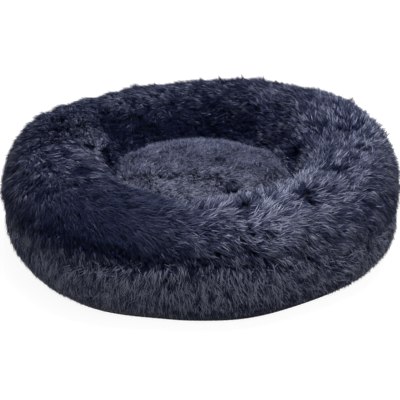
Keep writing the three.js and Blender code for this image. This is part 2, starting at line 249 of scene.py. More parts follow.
def strip_faces(one, other):
    """Four-sided faces between two rows of vertex numbers of equal length."""
    return np.stack([one[:-1], one[1:], other[1:], other[:-1]], -1)


def faces_outward(points, faces):
    """The faces, turned over if the volume that they close comes out negative."""
    a, b, c = points[faces[:, 0]], points[faces[:, 1]], points[faces[:, 2]]
    d = points[faces[:, -1]]
    volume = np.einsum("ij,ij->i", a, np.cross(b, c)).sum()
    if faces.shape[1] == 4:
        volume += np.einsum("ij,ij->i", a, np.cross(c, d)).sum()
    return faces if volume > 0 else faces[:, ::-1]


def cloth(name, outside, inside, material):
    """A closed cloth between two grids of points: both faces, and a rim on each of the four edges."""
    rows, columns = outside.shape[:2]
    points = np.concatenate([outside.reshape(-1, 3), inside.reshape(-1, 3)])
    near = np.arange(rows * columns).reshape(rows, columns)
    far = near + rows * columns
    faces = np.concatenate([
        grid_faces(rows, columns),
        grid_faces(rows, columns, first=rows * columns)[:, ::-1],
        strip_faces(near[0], far[0])[:, ::-1],
        strip_faces(near[-1], far[-1]),
        strip_faces(near[:, 0], far[:, 0]),
        strip_faces(near[:, -1], far[:, -1])[:, ::-1],
    ])
    return new_piece(name, points, faces_outward(points, faces), material)


def ring_body(name, loops, material):
    """A closed ring from a grid whose rows go round the bed and whose columns go round a section."""
    points = loops.reshape(-1, 3)
    faces = grid_faces(*loops.shape[:2], wrap_rows=True, wrap_columns=True)
    return new_piece(name, points, faces_outward(points, faces), material)


def dress(piece, slot, *replaced, body="cover"):
    """Lets a piece ride on its body and stand for the nodes that it replaces, which it hides. The slot is
    not used.
    """
    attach(piece, body)
    if replaced:
        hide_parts(*replaced)
    print(f"{piece.name}: {len(piece.data.polygons)} faces, on the {body}")
    return piece


def unit(vectors):
    """Vectors of length 1 along the last axis."""
    return vectors / np.maximum(np.linalg.norm(vectors, axis=-1, keepdims=True), 1e-12)


# %% [markdown]
# ## Helpers for materials
# Every finish is a small graph on a Principled shader. Patterns read Object coordinates, which are
# the bed's own frame, so a weave keeps its scale on every piece. Values that are the same all over
# go on the shader's sockets.

# %% Material helpers


class Graph:
    """A material's nodes, with short calls to add and link them."""

    def __init__(self, name, **sockets):
        self.material = bpy.data.materials.new(name)
        self.material.use_nodes = True
        self.tree = self.material.node_tree
        self.shader = self.tree.nodes["Principled BSDF"]
        for socket, value in sockets.items():
            self.shader.inputs[socket.replace("_", " ")].default_value = value

    def add(self, kind, links=None, **settings):
        """A node of that kind, with settings on it and links or values on its inputs."""
        node = self.tree.nodes.new("ShaderNode" + kind)
        for key, value in settings.items():
            setattr(node, key, value)
        for socket, value in (links or {}).items():
            self.link(value, node.inputs[socket])
        return node

    def link(self, value, socket):
        """Joins an output to a socket, or sets the socket to a plain value."""
        if isinstance(value, bpy.types.NodeSocket):
            self.tree.links.new(value, socket)
        else:
            socket.default_value = value

    def ramp(self, factor, stops):
        """A colour ramp with (position, colour) stops."""
        node = self.add("ValToRGB", {"Fac": factor})
        elements = node.color_ramp.elements
        while len(elements) < len(stops):
            elements.new(0.5)
        for element, (position, colour) in zip(elements, stops):
            element.position = position
            element.color = (*colour, 1)
        return node.outputs["Color"]

    def bump(self, height, strength, distance):
        """Sends a height to the shader's normal."""
        node = self.add("Bump", {"Height": height, "Strength": strength, "Distance": distance})
        self.link(node.outputs["Normal"], self.shader.inputs["Normal"])

    def colour(self, value):
        """Sends a colour to the shader, and gives the finished material."""
        self.link(value, self.shader.inputs["Base Color"])
        return self.material


def grey(level):
    """A grey of that level, for ramps."""
    return (level, level, level)


# %% [markdown]
# ## The pile's finish
# The real pile is polyester fur, navy at the root and paler and greyer towards the tip, with a soft
# shine along the strands. A painted picture would need room for every strand. Here each strand
# carries two numbers in its map instead: across it, how pale this strand is, and along it, how far
# from the root. Two ramps turn them into a colour, so one material serves every strand of the bed.

# %% Pile finish
pile_roughness = 0.5
pile_shine = 0.08


def pile_finish():
    """Colour = a ramp of the strand's paleness, times a ramp from root to tip."""
    graph = Graph("pile", Roughness=pile_roughness, Specular_IOR_Level=pile_shine)
    spot = graph.add("UVMap", uv_map="OFBake")
    parts = graph.add("SeparateXYZ", {"Vector": spot.outputs["UV"]})
    pale = graph.ramp(parts.outputs["X"], [
        (0.0, (0.007, 0.011, 0.040)),
        (0.35, (0.027, 0.035, 0.088)),
        (0.65, (0.100, 0.110, 0.190)),
        (0.88, (0.235, 0.254, 0.375)),
        (1.0, (0.400, 0.425, 0.560)),
    ])
    along = graph.ramp(parts.outputs["Y"], [
        (0.0, (0.11, 0.12, 0.16)), (0.35, (0.43, 0.45, 0.52)), (0.75, grey(1.0)), (1.0, grey(1.2)),
    ])
    # A Mix node has sockets for each type of data: for colours, inputs 6 and 7 and output 2.
    mixed = graph.add("Mix", data_type="RGBA", blend_type="MULTIPLY")
    graph.link(1.0, mixed.inputs[0])
    graph.link(pale, mixed.inputs[6])
    graph.link(along, mixed.inputs[7])
    return graph.colour(mixed.outputs[2])


pile = pile_finish()

# %% [markdown]
# ## The backing cloth's finish
# Under the pile is a knitted backing, dyed the same navy. It shows only in the depth of a parting,
# so its colour is painted darker still as the shade there, with a fine knit on it and slow changes
# of tone.

# %% Backing finish


def knit_finish():
    """Dark navy with slow noise in its tone and a fine knit as bump."""
    graph = Graph("knit_backing", Roughness=0.9, Specular_IOR_Level=0.2)
    spot = graph.add("TexCoord").outputs["Object"]
    slow = graph.add("TexNoise", {"Vector": spot, "Scale": 40.0, "Detail": 3.0})
    stitch = graph.add("TexVoronoi", {"Vector": spot, "Scale": 900.0})
    graph.bump(stitch.outputs["Distance"], 0.6, 0.4 * mm)
    return graph.colour(graph.ramp(slow.outputs["Fac"], [
        (0.3, (0.006, 0.008, 0.018)), (0.7, (0.014, 0.018, 0.036)),
    ]))


knit = knit_finish()

# %% [markdown]
# ## The ring's backing cloth
# Each sector of the ring is one cut of plush, and the side band below the crease is two more. Here
# each is a closed cloth just under the pile. It could be a subdivided cage, but a grid over the
# ring's own form needs no fitting and ends exactly at the seams.

# %% Ring and band backing
root_depth = 10 * mm  # of the cloth's face, below the middle of the pile
backing_thickness = 1.6 * mm
thin_lift = 156  # from here to the rim the seat presses the pile flat
rim_depth = 0.6 * mm
ring_sectors = {"back": (36, 150), "left": (150, 264), "front": (264, 330), "right": (330, 396)}
band_sectors = {"back": (0, 180), "front": (180, 360)}
edge_degrees = 0.1
cloth_floor = base_thickness + clearance
backing_steps_round = 64
backing_steps_up = 28


def smooth_step(value, low, high):
    """0 up to low, 1 from high, and 3 t t - 2 t t t between them."""
    t = np.clip((value - low) / (high - low), 0, 1)
    return t * t * (3 - 2 * t)


def root_inset(lift):
    """The cloth's depth at each lift: root_depth, and rim_depth at the rim."""
    return root_depth + (rim_depth - root_depth) * smooth_step(lift, thin_lift, rim_lift)


def backing(name, node, sector, lift_from, lift_to):
    """The cloth over a sector: its face at the root's depth, and its back one thickness deeper."""
    azimuths = np.linspace(sector[0] + edge_degrees, sector[1] - edge_degrees, backing_steps_round)
    starts, ends = lift_from(azimuths), lift_to(azimuths)
    shares = np.linspace(0, 1, backing_steps_up)
    lifts = starts[:, None] + (ends - starts)[:, None] * shares
    across = azimuths[:, None] + 0 * lifts
    depth = root_inset(lifts)
    outside = ring_surface(across, lifts, depth, cloth_floor)
    inside = ring_surface(across, lifts, depth + backing_thickness, cloth_floor)
    piece = cloth(name, outside, inside, knit)
    dress(piece, "pile_cloth", node)


def crease_line(azimuth):
    """The crease's lift at each azimuth."""
    return profile(azimuth)[3]


def always(value):
    """A line round the bed that keeps the same value at every azimuth."""
    return lambda azimuth: value + 0 * azimuth


for key, sector in ring_sectors.items():
    backing(f"ring_backing_{key}", f"ring_panel_{key}", sector, crease_line, always(rim_lift))
for key, sector in band_sectors.items():
    backing(f"band_backing_{key}", f"side_band_{key}", sector, always(foot_lift), crease_line)
print("backing cloths:", len(ring_sectors) + len(band_sectors))

# %% [markdown]
# ## The seat's backing cloth
# The seat is a round cut of the same plush over a domed pad. A grid of rings would meet in a pole,
# so a square grid is pressed into the disc instead: it has no pole and its rim closes like any
# other cloth's.

# %% Seat backing
seat_shoulder_power = 12  # the higher, the nearer to the rim the shoulder drops
seat_grid_side = 49


def seat_top(share):
    """The seat's height at a share of its radius: a dome, and a shoulder that drops at the rim."""
    dome = seat_dome_rise * (1 - share**2)
    shoulder = seat_shoulder_rise * (1 - share**seat_shoulder_power)
    return seat_side_height + dome + shoulder


def seat_surface(azimuth, share, inset=0.0):
    """Points of the seat's top, lowered by an inset."""
    radius = share * (profile(azimuth)[1] - clearance)
    return place(azimuth, radius, seat_top(share) - inset)


def disc_grid(side):
    """Azimuths and shares of a square grid pressed into a disc: x = u times the root of
    1 - v squared / 2, and y likewise."""
    u, v = np.meshgrid(np.linspace(-1, 1, side), np.linspace(-1, 1, side))
    x, y = u * np.sqrt(1 - v**2 / 2), v * np.sqrt(1 - u**2 / 2)
    return np.degrees(np.arctan2(y, x)), np.minimum(np.hypot(x, y), 1)


disc_azimuths, disc_shares = disc_grid(seat_grid_side)
seat_backing = cloth(
    "seat_backing",
    seat_surface(disc_azimuths, disc_shares, root_depth),
    seat_surface(disc_azimuths, disc_shares, root_depth + backing_thickness),
    knit,
)
dress(seat_backing, "pile_cloth", "seat_panel")

# %% [markdown]
# ## Strands of pile
# A strand is a small three-sided spindle: it leaves the cloth nearly upright, bends over into the nap
# and ends in a point. Neighbouring strands lean together into tufts, which is what gives plush its
# shaggy look. Blender's own hair would look finer, but it can't leave as a mesh, so the spikes are
# built as arrays: one row of numbers for each strand, and every vertex worked out at once.

# %% Strand builder
bend = 0.45  # where a strand is thickest, as a share of the way to its tip
rise_power = 1.8  # how early a strand rises
lay_power = 1.3  # how late it bends over
strand_back = 0.8  # how far its back stands out, as a share of its half width
most_strands = 32000  # in one piece
shade_width = 0.006  # how far a strand's own map spreads across the paleness
shade_limits = (0.01, 0.99)


def strand_mesh(name, root, rise, lay, side, width, shade):
    """Spikes of six faces: a point at the root, a triangle of that width at the bend and a point at
    the tip. For s from 0 to 1 the spine is the root, plus rise times 1 - (1 - s) to the rise power,
    plus lay times s to the lay power. rise and lay are vectors, and side is the direction across the
    strand."""

    def spine(s):
        """The middle of each strand, a share s of the way to its tip."""
        return root + rise * (1 - (1 - s) ** rise_power) + lay * s**lay_power

    ahead = unit(spine(bend + 0.05) - spine(bend - 0.05))
    middle, half = spine(bend), width[:, None] / 2
    back = strand_back * half * np.cross(side, ahead)
    points = np.stack([root, middle - half * side, middle + back, middle + half * side, spine(1.0)], 1)
    faces = np.array([(0, 2, 1), (0, 3, 2), (0, 1, 3), (1, 2, 4), (2, 3, 4), (3, 1, 4)])
    all_faces = faces[None] + 5 * np.arange(len(root))[:, None, None]
    piece = new_piece(name, points.reshape(-1, 3), all_faces.reshape(-1, 3), pile)

    across = shade_width * np.array([0, -1, 0, 1, 0])[faces.ravel()]
    along = np.array([0, bend, bend, bend, 1])[faces.ravel()]
    spots = np.empty((len(root), faces.size, 2), np.float32)
    spots[:, :, 0] = np.clip(shade, *shade_limits)[:, None] + across
    spots[:, :, 1] = along
    layer = piece.data.uv_layers.new(name="OFBake")
    layer.data.foreach_set("uv", spots.ravel())
    return piece


# %% [markdown]
# ## Where tufts grow
# Tufts are spread evenly over a surface, so the surface is first cut into small cells and each cell
# takes tufts by its area. Slow waves through space change the pile from place to place, so that no
# two tufts lean quite alike. The random numbers are seeded, and every run grows the same pile.

# %% Spreading and waves
rng = np.random.default_rng(7)
tufts_per_square_metre = 57000
strands_per_tuft = 9
lowest_tip = 1.5 * mm


def waves(points, size, seed, count=12):
    """Smooth noise from about -1 to 1: the sum of plane waves of about that size in space."""
    source = np.random.default_rng(seed)
    directions = unit(source.normal(size=(count, 3))) * (2 * np.pi / size)
    directions *= source.uniform(0.6, 1.5, (count, 1))
    phases = source.uniform(0, 2 * np.pi, count)
    return np.sin(points @ directions.T + phases).sum(-1) / math.sqrt(count / 2) / 1.5


def surface_frame(surface, a, b):
    """A surface's points and normals, and the vectors by which a step of 1 in a or in b moves a
    point."""
    step = 0.2 * np.array([surface.a_size, surface.b_size])
    along_a = (surface(a + step[0], b) - surface(a - step[0], b)) / (2 * step[0])
    along_b = (surface(a, b + step[1]) - surface(a, b - step[1])) / (2 * step[1])
    normal = unit(np.cross(along_a, along_b)) * surface.facing
    return surface(a, b), normal, along_a, along_b


class Patch:
    """A surface of two parameters with the bounds in which pile grows. facing is -1 where a rising
    a, then a rising b, turn the other way round the outward normal."""

    def __init__(self, surface, a_bounds, b_low, b_high, a_size=1.0, b_size=1.0, facing=1):
        self.surface, self.a_bounds = surface, a_bounds
        self.b_low, self.b_high = b_low, b_high
        self.a_size, self.b_size, self.facing = a_size, b_size, facing

    def __call__(self, a, b):
        """Points of the surface."""
        return self.surface(a, b)

    def lifts(self, a, share):
        """The second parameter at a share of the way between its bounds."""
        return self.b_low(a) + (self.b_high(a) - self.b_low(a)) * share

    def tufts(self, density):
        """Places (a, b) spread evenly by area, as many as density asks for each square metre."""
        columns, rows = 300, 60
        a_edges = np.linspace(*self.a_bounds, columns + 1)
        a_mid = np.repeat((a_edges[:-1] + a_edges[1:]) / 2, rows)
        share_mid = np.tile((np.arange(rows) + 0.5) / rows, columns)
        b_mid = self.lifts(a_mid, share_mid)
        _, _, along_a, along_b = surface_frame(self, a_mid, b_mid)
        a_step = np.ptp(self.a_bounds) / columns
        b_step = (self.b_high(a_mid) - self.b_low(a_mid)) / rows
        area = np.linalg.norm(np.cross(along_a, along_b), axis=1) * a_step * np.abs(b_step)
        count = int(area.sum() * density)
        ticks = (np.arange(count) + rng.random(count)) / count
        total = np.cumsum(area)
        cell = np.searchsorted(total / total[-1], ticks)
        a = a_mid[cell] + (rng.random(count) - 0.5) * a_step
        share = share_mid[cell] + (rng.random(count) - 0.5) / rows
        return a, self.lifts(a, share), area.sum()


# %% Growing the pile
guard_share = 0.3  # of the strands are guard hairs: longer, wider, paler and prouder
# Pairs for guard hairs and for the others. The pale pair is in units of the nap's grain.
guard_lengths, guard_prouds = (1.1, 0.95), (1.15, 0.94)
guard_widths, guard_pales = (1.15, 0.95), (1.4, -0.56)
length_range, proud_range, width_range = (0.75, 1.1), (0.7, 1.1), (0.8, 1.2)
twist_spread = 0.5  # radians
least_lay = 0.3  # of a strand's length goes along the cloth, however proud it stands


def grow(name, patch, density, nap):
    """Grows the pile of one patch. nap(points, normal, round_, over, a, b) gives for each tuft its
    heading, length and width, how proud it stands, how far it droops and how low it may reach, how
    wide it spreads and how tightly it gathers, how much the tuft and its loose strands stray, how
    pale it is, and how much tufts (mottle) and strands (grain) differ in that."""
    a, b, area = patch.tufts(density)
    points, normal, along_a, along_b = surface_frame(patch, a, b)
    facts = nap(points, normal, unit(along_a), unit(along_b), a, b)
    tuft = np.repeat(np.arange(len(a)), strands_per_tuft)
    count = len(tuft)
    spread = facts["spread"][tuft]
    angle = rng.uniform(0, 2 * np.pi, count)
    reach = spread * np.sqrt(rng.random(count))
    offset_a, offset_b = reach * np.cos(angle), reach * np.sin(angle)
    strand_a = a[tuft] + offset_a / np.linalg.norm(along_a, axis=1)[tuft]
    strand_b = b[tuft] + offset_b / np.linalg.norm(along_b, axis=1)[tuft]
    root, strand_normal, round_, over = surface_frame(patch, strand_a, strand_b)
    round_, over = unit(round_), unit(over)
    offset = root - points[tuft]

    guard = rng.random(count) < guard_share
    length = facts["length"][tuft] * rng.uniform(*length_range, count) * np.where(guard, *guard_lengths)
    proud = facts["proud"][tuft] * rng.uniform(*proud_range, count) * np.where(guard, *guard_prouds)
    loose = rng.normal(size=(count, 3)) * facts["loose"]
    stray = rng.normal(size=(len(a), 3)) * facts["stray"]
    heading = unit(facts["heading"] + 1e-9)[tuft] + stray[tuft] + loose
    heading = heading - strand_normal * np.einsum("ij,ij->i", heading, strand_normal)[:, None]
    heading = unit(heading)
    forward = np.sqrt(np.maximum(length**2 - proud**2, (least_lay * length) ** 2))
    rise = strand_normal * proud[:, None]
    lay = heading * forward[:, None] - offset * facts["gather"][tuft][:, None]
    lay[:, 2] -= facts["droop"] * length
    lay[:, 2] = np.maximum(lay[:, 2], facts["lowest"][tuft] - root[:, 2] - rise[:, 2])

    side = unit(np.cross(lay, strand_normal) + 1e-9)
    twist = rng.normal(size=count) * twist_spread
    side = unit(side + strand_normal * twist[:, None])
    side = unit(side - unit(lay + rise) * np.einsum("ij,ij->i", side, unit(lay + rise))[:, None])
    tone = rng.normal(size=len(a)) * facts["mottle"]
    noise = rng.normal(size=count) + np.where(guard, *guard_pales)
    shade = facts["pale"][tuft] + tone[tuft] + noise * facts["grain"][tuft]
    width = facts["width"] * rng.uniform(*width_range, count) * np.where(guard, *guard_widths)

    chunks = math.ceil(count / most_strands)
    for k, part in enumerate(np.array_split(np.arange(count), chunks)):
        piece = strand_mesh(f"{name}_{k + 1}", root[part], rise[part], lay[part], side[part],
                            width[part], shade[part])
        dress(piece, "pile_cloth")
    print(f"{name}: {area:.3f} square metres, {len(a)} tufts, {count} strands, {chunks} pieces")


# %% [markdown]
# ## The stuffing
# Loose polyester fibre fills the ring and the seat. It takes the shape of the cloth round it, stands
# on the underside and leaves room over the zip. It never shows, but it is a real piece of the bed,
# so it gets the form that the cloth gives it, a slightly lumpy face and a fibrous white finish.

# %% Fibre finish


def fibre_finish():
    """Off-white with tangled fibres: fine noise stretched by a second noise, as colour and bump."""
    graph = Graph("fibre_fill", Roughness=0.95, Specular_IOR_Level=0.2)
    spot = graph.add("TexCoord").outputs["Object"]
    tangle = graph.add("TexNoise", {"Vector": spot, "Scale": 260.0, "Detail": 5.0, "Distortion": 2.5})
    graph.bump(tangle.outputs["Fac"], 0.7, 1.2 * mm)
    return graph.colour(graph.ramp(tangle.outputs["Fac"], [
        (0.3, (0.55, 0.55, 0.53)), (0.7, (0.82, 0.82, 0.80)),
    ]))


fibre = fibre_finish()

# %% Room for the zip
zip_nodes = [name for name in nodes if name.startswith("zip_")]
zip_boxes = np.array([[list(corner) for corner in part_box(name)] for name in zip_nodes])
slot_half_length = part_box("zip_tape_back")[1][0]
slot_half_width = 10 * mm
hem_width = 9 * mm
zip_roof = zip_boxes[:, 1, 2].max() + 2 * clearance
room_slope = 12 * mm


def over_zip(points, lowest):
    """Points raised to the lowest height, and over the zip's room by a slope round it."""
    beyond = np.abs(points[..., :2]) - [slot_half_length + hem_width, slot_half_width + hem_width]
    share = 1 - smooth_step(beyond.max(-1), clearance, room_slope)
    points[..., 2] = np.maximum(points[..., 2], lowest + (zip_roof - lowest) * share)
    return points


# %% Ring and seat stuffing
fill_depth = root_depth + backing_thickness + 0.6 * mm
fill_floor = cloth_floor + clearance
sole_lift = -84
wall_thickness = 1 * mm
fill_steps_round, fill_steps_up, fill_steps_down = 180, 60, 12
fill_rim_drop = 2 * mm
seat_fill_share = 0.995  # of the seat's radius
lump_size = 0.06
lump_height = 0.25 * mm


def lumpy(points, seed):
    """Points moved a little by slow waves, as fibre never lies quite even."""
    lump = np.stack([waves(points.reshape(-1, 3), lump_size, seed + k) for k in range(3)], -1)
    return points + lump_height * lump.reshape(points.shape)


def rim_height(azimuth):
    """The rim's height at each azimuth."""
    return ring_surface(azimuth, rim_lift + 0 * azimuth)[..., 2]


def ring_filling():
    """Round the section: the skin from the sole over the crest to the rim, then down the wall."""
    azimuths = np.arange(0, 360, 360 / fill_steps_round)[:, None]
    lifts = np.linspace(sole_lift, rim_lift, fill_steps_up)[None]
    across = azimuths + 0 * lifts
    inset = root_inset(lifts) + fill_depth - root_depth
    skin = ring_surface(across, lifts + 0 * across, inset + 0 * across, fill_floor)
    wall_radius = profile(azimuths)[1] + 3 * clearance + wall_thickness
    tops = rim_height(azimuths)[:, 0] - fill_rim_drop
    heights = np.linspace(tops, np.full(fill_steps_round, fill_floor), fill_steps_down).T
    wall = place(azimuths + 0 * heights, wall_radius + 0 * heights, heights)
    return over_zip(lumpy(np.concatenate([skin, wall], 1), 41), fill_floor)


ring_fill = ring_body("ring_filling", ring_filling(), fibre)
dress(ring_fill, "fibre_fill", "ring_stuffing")

seat_fill_shares = disc_shares * seat_fill_share
seat_fill_top = seat_surface(disc_azimuths, seat_fill_shares, fill_depth)
seat_fill_radius = seat_fill_shares * profile(disc_azimuths)[1]
seat_fill_sole = place(disc_azimuths, seat_fill_radius, fill_floor + 0 * disc_shares)
seat_fill_sole = over_zip(seat_fill_sole, fill_floor)
seat_fill = cloth("seat_filling", lumpy(seat_fill_top, 44), seat_fill_sole, fibre)
dress(seat_fill, "fibre_fill", "seat_stuffing")
print(f"stuffing stands {fill_floor / mm:.1f} mm up, and {zip_roof / mm:.1f} mm over the zip")

# %% [markdown]
# ## Small shapes for sewing and fittings
# Stitches, grip dots, coils and metal parts are closed tubes: loops of points joined in turn, with
# each end closed onto its middle. One shape is then copied to many places in one step of arithmetic,
# so a row of four hundred stitches takes no more code than a single one.

# %% Tubes, copies and rows


def stack(loops):
    """A closed tube: the loops joined in turn, and each end loop closed onto its own middle."""
    count, sides = loops.shape[:2]
    points = np.concatenate([loops.reshape(-1, 3), [loops[0].mean(0), loops[-1].mean(0)]])
    quads = grid_faces(count, sides, wrap_columns=True)
    ring = np.arange(sides)
    after = (ring + 1) % sides
    end, first, last = (count - 1) * sides, count * sides, count * sides + 1
    faces = np.concatenate([
        quads[:, [0, 1, 2]],
        quads[:, [0, 2, 3]],
        np.stack([after, ring, first + 0 * ring], -1),
        np.stack([end + ring, end + after, last + 0 * ring], -1),
    ])
    return points, faces_outward(points, faces)


def together(parts):
    """Several closed shells as one pair of arrays."""
    starts = np.cumsum([0] + [len(points) for points, _ in parts[:-1]])
    faces = [part[1] + start for part, start in zip(parts, starts)]
    return np.concatenate([part[0] for part in parts]), np.concatenate(faces)


def copies(shape, places, along, up):
    """The shape at each place, turned so that its x lies along and its z points up there."""
    points, faces = shape
    frames = np.stack([along, np.cross(up, along), up], 1)
    spots = places[:, None] + np.einsum("pk,nkc->npc", points, frames)
    shift = len(points) * np.arange(len(places))[:, None, None]
    return spots.reshape(-1, 3), (faces[None] + shift).reshape(-1, 3)


def even_steps(path, step):
    """Points at even steps along a path, and the unit directions there."""
    gone = np.append(0, np.cumsum(np.linalg.norm(np.diff(path, axis=0), axis=1)))
    count = max(int(gone[-1] / step), 2)
    at = (np.arange(count) + 0.5) * gone[-1] / count
    spots = np.stack([np.interp(at, gone, path[:, k]) for k in range(3)], -1)
    ahead = np.stack([np.interp(at + step / 4, gone, path[:, k]) for k in range(3)], -1)
    behind = np.stack([np.interp(at - step / 4, gone, path[:, k]) for k in range(3)], -1)
    return spots, unit(ahead - behind)


def spindle(length, radius, sides=6, arched=0.3):
    """One stitch: thick in the middle by the root of a sine, and arched by a share of its radius."""
    s = np.array([0.06, 0.3, 0.7, 0.94])[:, None]
    turn = np.linspace(0, 2 * np.pi, sides, endpoint=False)[None]
    thick = radius * np.sqrt(np.sin(np.pi * s))
    arch = arched * radius * np.sin(np.pi * s)
    return stack(np.stack([
        (s - 0.5) * length + 0 * turn, thick * np.cos(turn), arch + thick * np.sin(turn),
    ], -1))


def rounded_block(low, high, power=5, loops=9, sides=20):
    """A block with soft edges: half sizes times sines and cosines to the power 2 / n."""
    low, high = np.array(low), np.array(high)
    rise = np.linspace(-80, 80, loops)[:, None]
    turn = np.linspace(0, 360, sides, endpoint=False)[None] + 45

    def part(value):
        """A sine or a cosine, squared up."""
        return signed_power(value, 2 / power)

    ring = part(np.cos(np.radians(rise)))
    shape = np.stack([
        ring * part(np.cos(np.radians(turn))),
        ring * part(np.sin(np.radians(turn))),
        part(np.sin(np.radians(rise))) + 0 * turn,
    ], -1)
    return stack((low + high) / 2 + (high - low) / 2 * shape)


# %% [markdown]
# ## Cloth, tape and metal finishes
# The cloths that carry no pile are woven, and a weave is two sets of waves that cross: one set of
# threads over the other. The tapes are twill, so their lines run askew. The grip dots are pitted
# rubber, and the zip is dark metal with fine scratches and wear. A bump alone would do from far off,
# but the threads' own tone also shows.

# %% Woven, rubber and metal finishes


def woven_finish(name, dark, light, thread, skew=0.0, roughness=0.85):
    """Threads a given width apart: two crossing waves as bump and tone, with slow noise over them.
    skew turns the lines, in radians, for twill."""
    graph = Graph(name, Roughness=roughness, Specular_IOR_Level=0.3)
    spot = graph.add("TexCoord").outputs["Object"]
    turned = graph.add("Mapping", {"Vector": spot})
    turned.inputs["Rotation"].default_value = (0.0, 0.0, skew)
    scale = 2 * math.pi / (20 * thread)
    lines = [graph.add("TexWave", {"Vector": turned.outputs[0], "Scale": scale}, bands_direction=way)
             for way in ("X", "Y")]
    weave = graph.add("Math", {0: lines[0].outputs["Fac"], 1: lines[1].outputs["Fac"]},
                      operation="MULTIPLY")
    slow = graph.add("TexNoise", {"Vector": spot, "Scale": 30.0, "Detail": 4.0})
    tone = graph.add("Math", {0: weave.outputs[0], 1: slow.outputs["Fac"]}, operation="ADD")
    graph.bump(weave.outputs[0], 0.6, 0.5 * thread)
    return graph.colour(graph.ramp(tone.outputs[0], [(0.4, dark), (1.0, light)]))


def rubber_finish(name, dark, light):
    """Moulded rubber: small pits as bump, and slow changes of tone."""
    graph = Graph(name, Roughness=0.55, Specular_IOR_Level=0.4)
    spot = graph.add("TexCoord").outputs["Object"]
    pits = graph.add("TexNoise", {"Vector": spot, "Scale": 1800.0, "Detail": 2.0})
    slow = graph.add("TexNoise", {"Vector": spot, "Scale": 80.0, "Detail": 2.0})
    graph.bump(pits.outputs["Fac"], 0.3, 0.15 * mm)
    return graph.colour(graph.ramp(slow.outputs["Fac"], [(0.35, dark), (0.65, light)]))


def metal_finish(name, dark, light):
    """Metal with long fine scratches, and paler where slow noise has worn it."""
    graph = Graph(name, Metallic=1.0)
    spot = graph.add("TexCoord").outputs["Object"]
    stretched = graph.add("Mapping", {"Vector": spot})
    stretched.inputs["Scale"].default_value = (60.0, 900.0, 900.0)
    scratch = graph.add("TexNoise", {"Vector": stretched.outputs[0], "Scale": 1.0, "Detail": 4.0})
    wear = graph.add("TexNoise", {"Vector": spot, "Scale": 500.0, "Detail": 3.0})
    rough = graph.add("MapRange", {"Value": scratch.outputs["Fac"], "To Min": 0.25, "To Max": 0.5})
    graph.link(rough.outputs[0], graph.shader.inputs["Roughness"])
    graph.bump(scratch.outputs["Fac"], 0.15, 0.05 * mm)
    return graph.colour(graph.ramp(wear.outputs["Fac"], [(0.35, dark), (0.7, light)]))


lining_weave = woven_finish("lining_weave", (0.55, 0.55, 0.53), (0.8, 0.8, 0.78), 0.7 * mm)
base_weave = woven_finish("base_weave", (0.008, 0.009, 0.013), (0.030, 0.032, 0.042), 1.1 * mm)
binding_weave = woven_finish("binding_weave", (0.005, 0.006, 0.009), (0.016, 0.018, 0.026), 0.8 * mm)
tape_twill = woven_finish("tape_twill", (0.010, 0.011, 0.016), (0.040, 0.042, 0.055), 0.6 * mm, 0.6)
label_satin = woven_finish("label_satin", (0.72, 0.72, 0.70), (0.86, 0.86, 0.84), 0.4 * mm,
                           roughness=0.45)
thread_twist = woven_finish("thread_twist", (0.016, 0.018, 0.030), (0.07, 0.075, 0.10), 0.35 * mm, 0.9)
coil_nylon = woven_finish("coil_nylon", (0.010, 0.011, 0.016), (0.030, 0.032, 0.040), 0.5 * mm,
                          roughness=0.35)
grip_rubber = rubber_finish("grip_rubber", (0.018, 0.019, 0.022), (0.032, 0.033, 0.036))
zip_metal = metal_finish("zip_metal", (0.16, 0.16, 0.17), (0.34, 0.34, 0.35))

# %% [markdown]
# ## The wall between the chambers
# A strip of lining cloth stands round under the nest's edge and keeps the ring's stuffing out of the
# seat. It is a closed thin ring, a little rippled, and it leaves the zip its room at both ends.

# %% Chamber wall
wall_steps_up = 24
wall_step_degrees = 1.5
wall_ripple = 0.12 * mm
wall_ripples = 31  # round the bed
wall_face_shares = (0.88, 0.12)  # where the two faces lie in the wall's thickness


def wall_face(azimuth, share, off):
    """Points off the nest's radius, from the underside up to just below the rim."""
    radius = profile(azimuth)[1] + clearance + off
    radius = radius + wall_ripple * np.sin(np.radians(azimuth) * wall_ripples + 4 * share)
    sole = over_zip(place(azimuth, radius, cloth_floor + 0 * share), cloth_floor)
    top = rim_height(azimuth) - clearance
    sole[..., 2] += (top - sole[..., 2]) * share
    return sole


wall_azimuths, wall_shares = np.meshgrid(np.arange(0, 360, wall_step_degrees),
                                         np.linspace(0, 1, wall_steps_up), indexing="ij")
wall_outer, wall_inner = (wall_face(wall_azimuths, wall_shares, share * wall_thickness)
                          for share in wall_face_shares)
chamber_wall = ring_body("chamber_wall_cloth", np.concatenate([wall_outer, wall_inner[:, ::-1]], 1),
                         lining_weave)
dress(chamber_wall, "lining_cloth", "chamber_wall")

# %% [markdown]
# ## The underside
# Two halves of tough black cloth close the bed from below and meet along the zip, each with a folded
# and stitched hem there. Such cloth often carries grip dots, so that the bed doesn't slide. A panel
# is a ruled surface: straight lines from the slot's edge to the outline, with the hem's rounded fold
# as its first few columns.

# %% Underside panels
binding_width = 7 * mm
half_gap = clearance / 2
panel_sole = 0.6 * mm
panel_ripple = 0.1 * mm
panel_steps_out = 15
outline_step_degrees = 0.1
path_steps = 240
end_steps = 12
hem_offsets = np.array([0, 0.4, 1.2, 3, 6, 7.8, 8.6, 9, 9.6]) * mm
hem_tops = np.array([4.6, 5.5, 5.9, 6.0, 6.0, 5.9, 5.2, 3.4, 2.5]) * mm
hem_soles = np.array([1.3, 0.8, 0.6, 0.6, 0.6, 0.6, 0.6, 0.6, 0.6]) * mm


def foot_radius(azimuth):
    """How far the ring's foot stands from the ring's centre."""
    foot = ring_surface(azimuth, foot_lift + 0 * azimuth) - ring_centre
    return np.hypot(foot[..., 0], foot[..., 1])


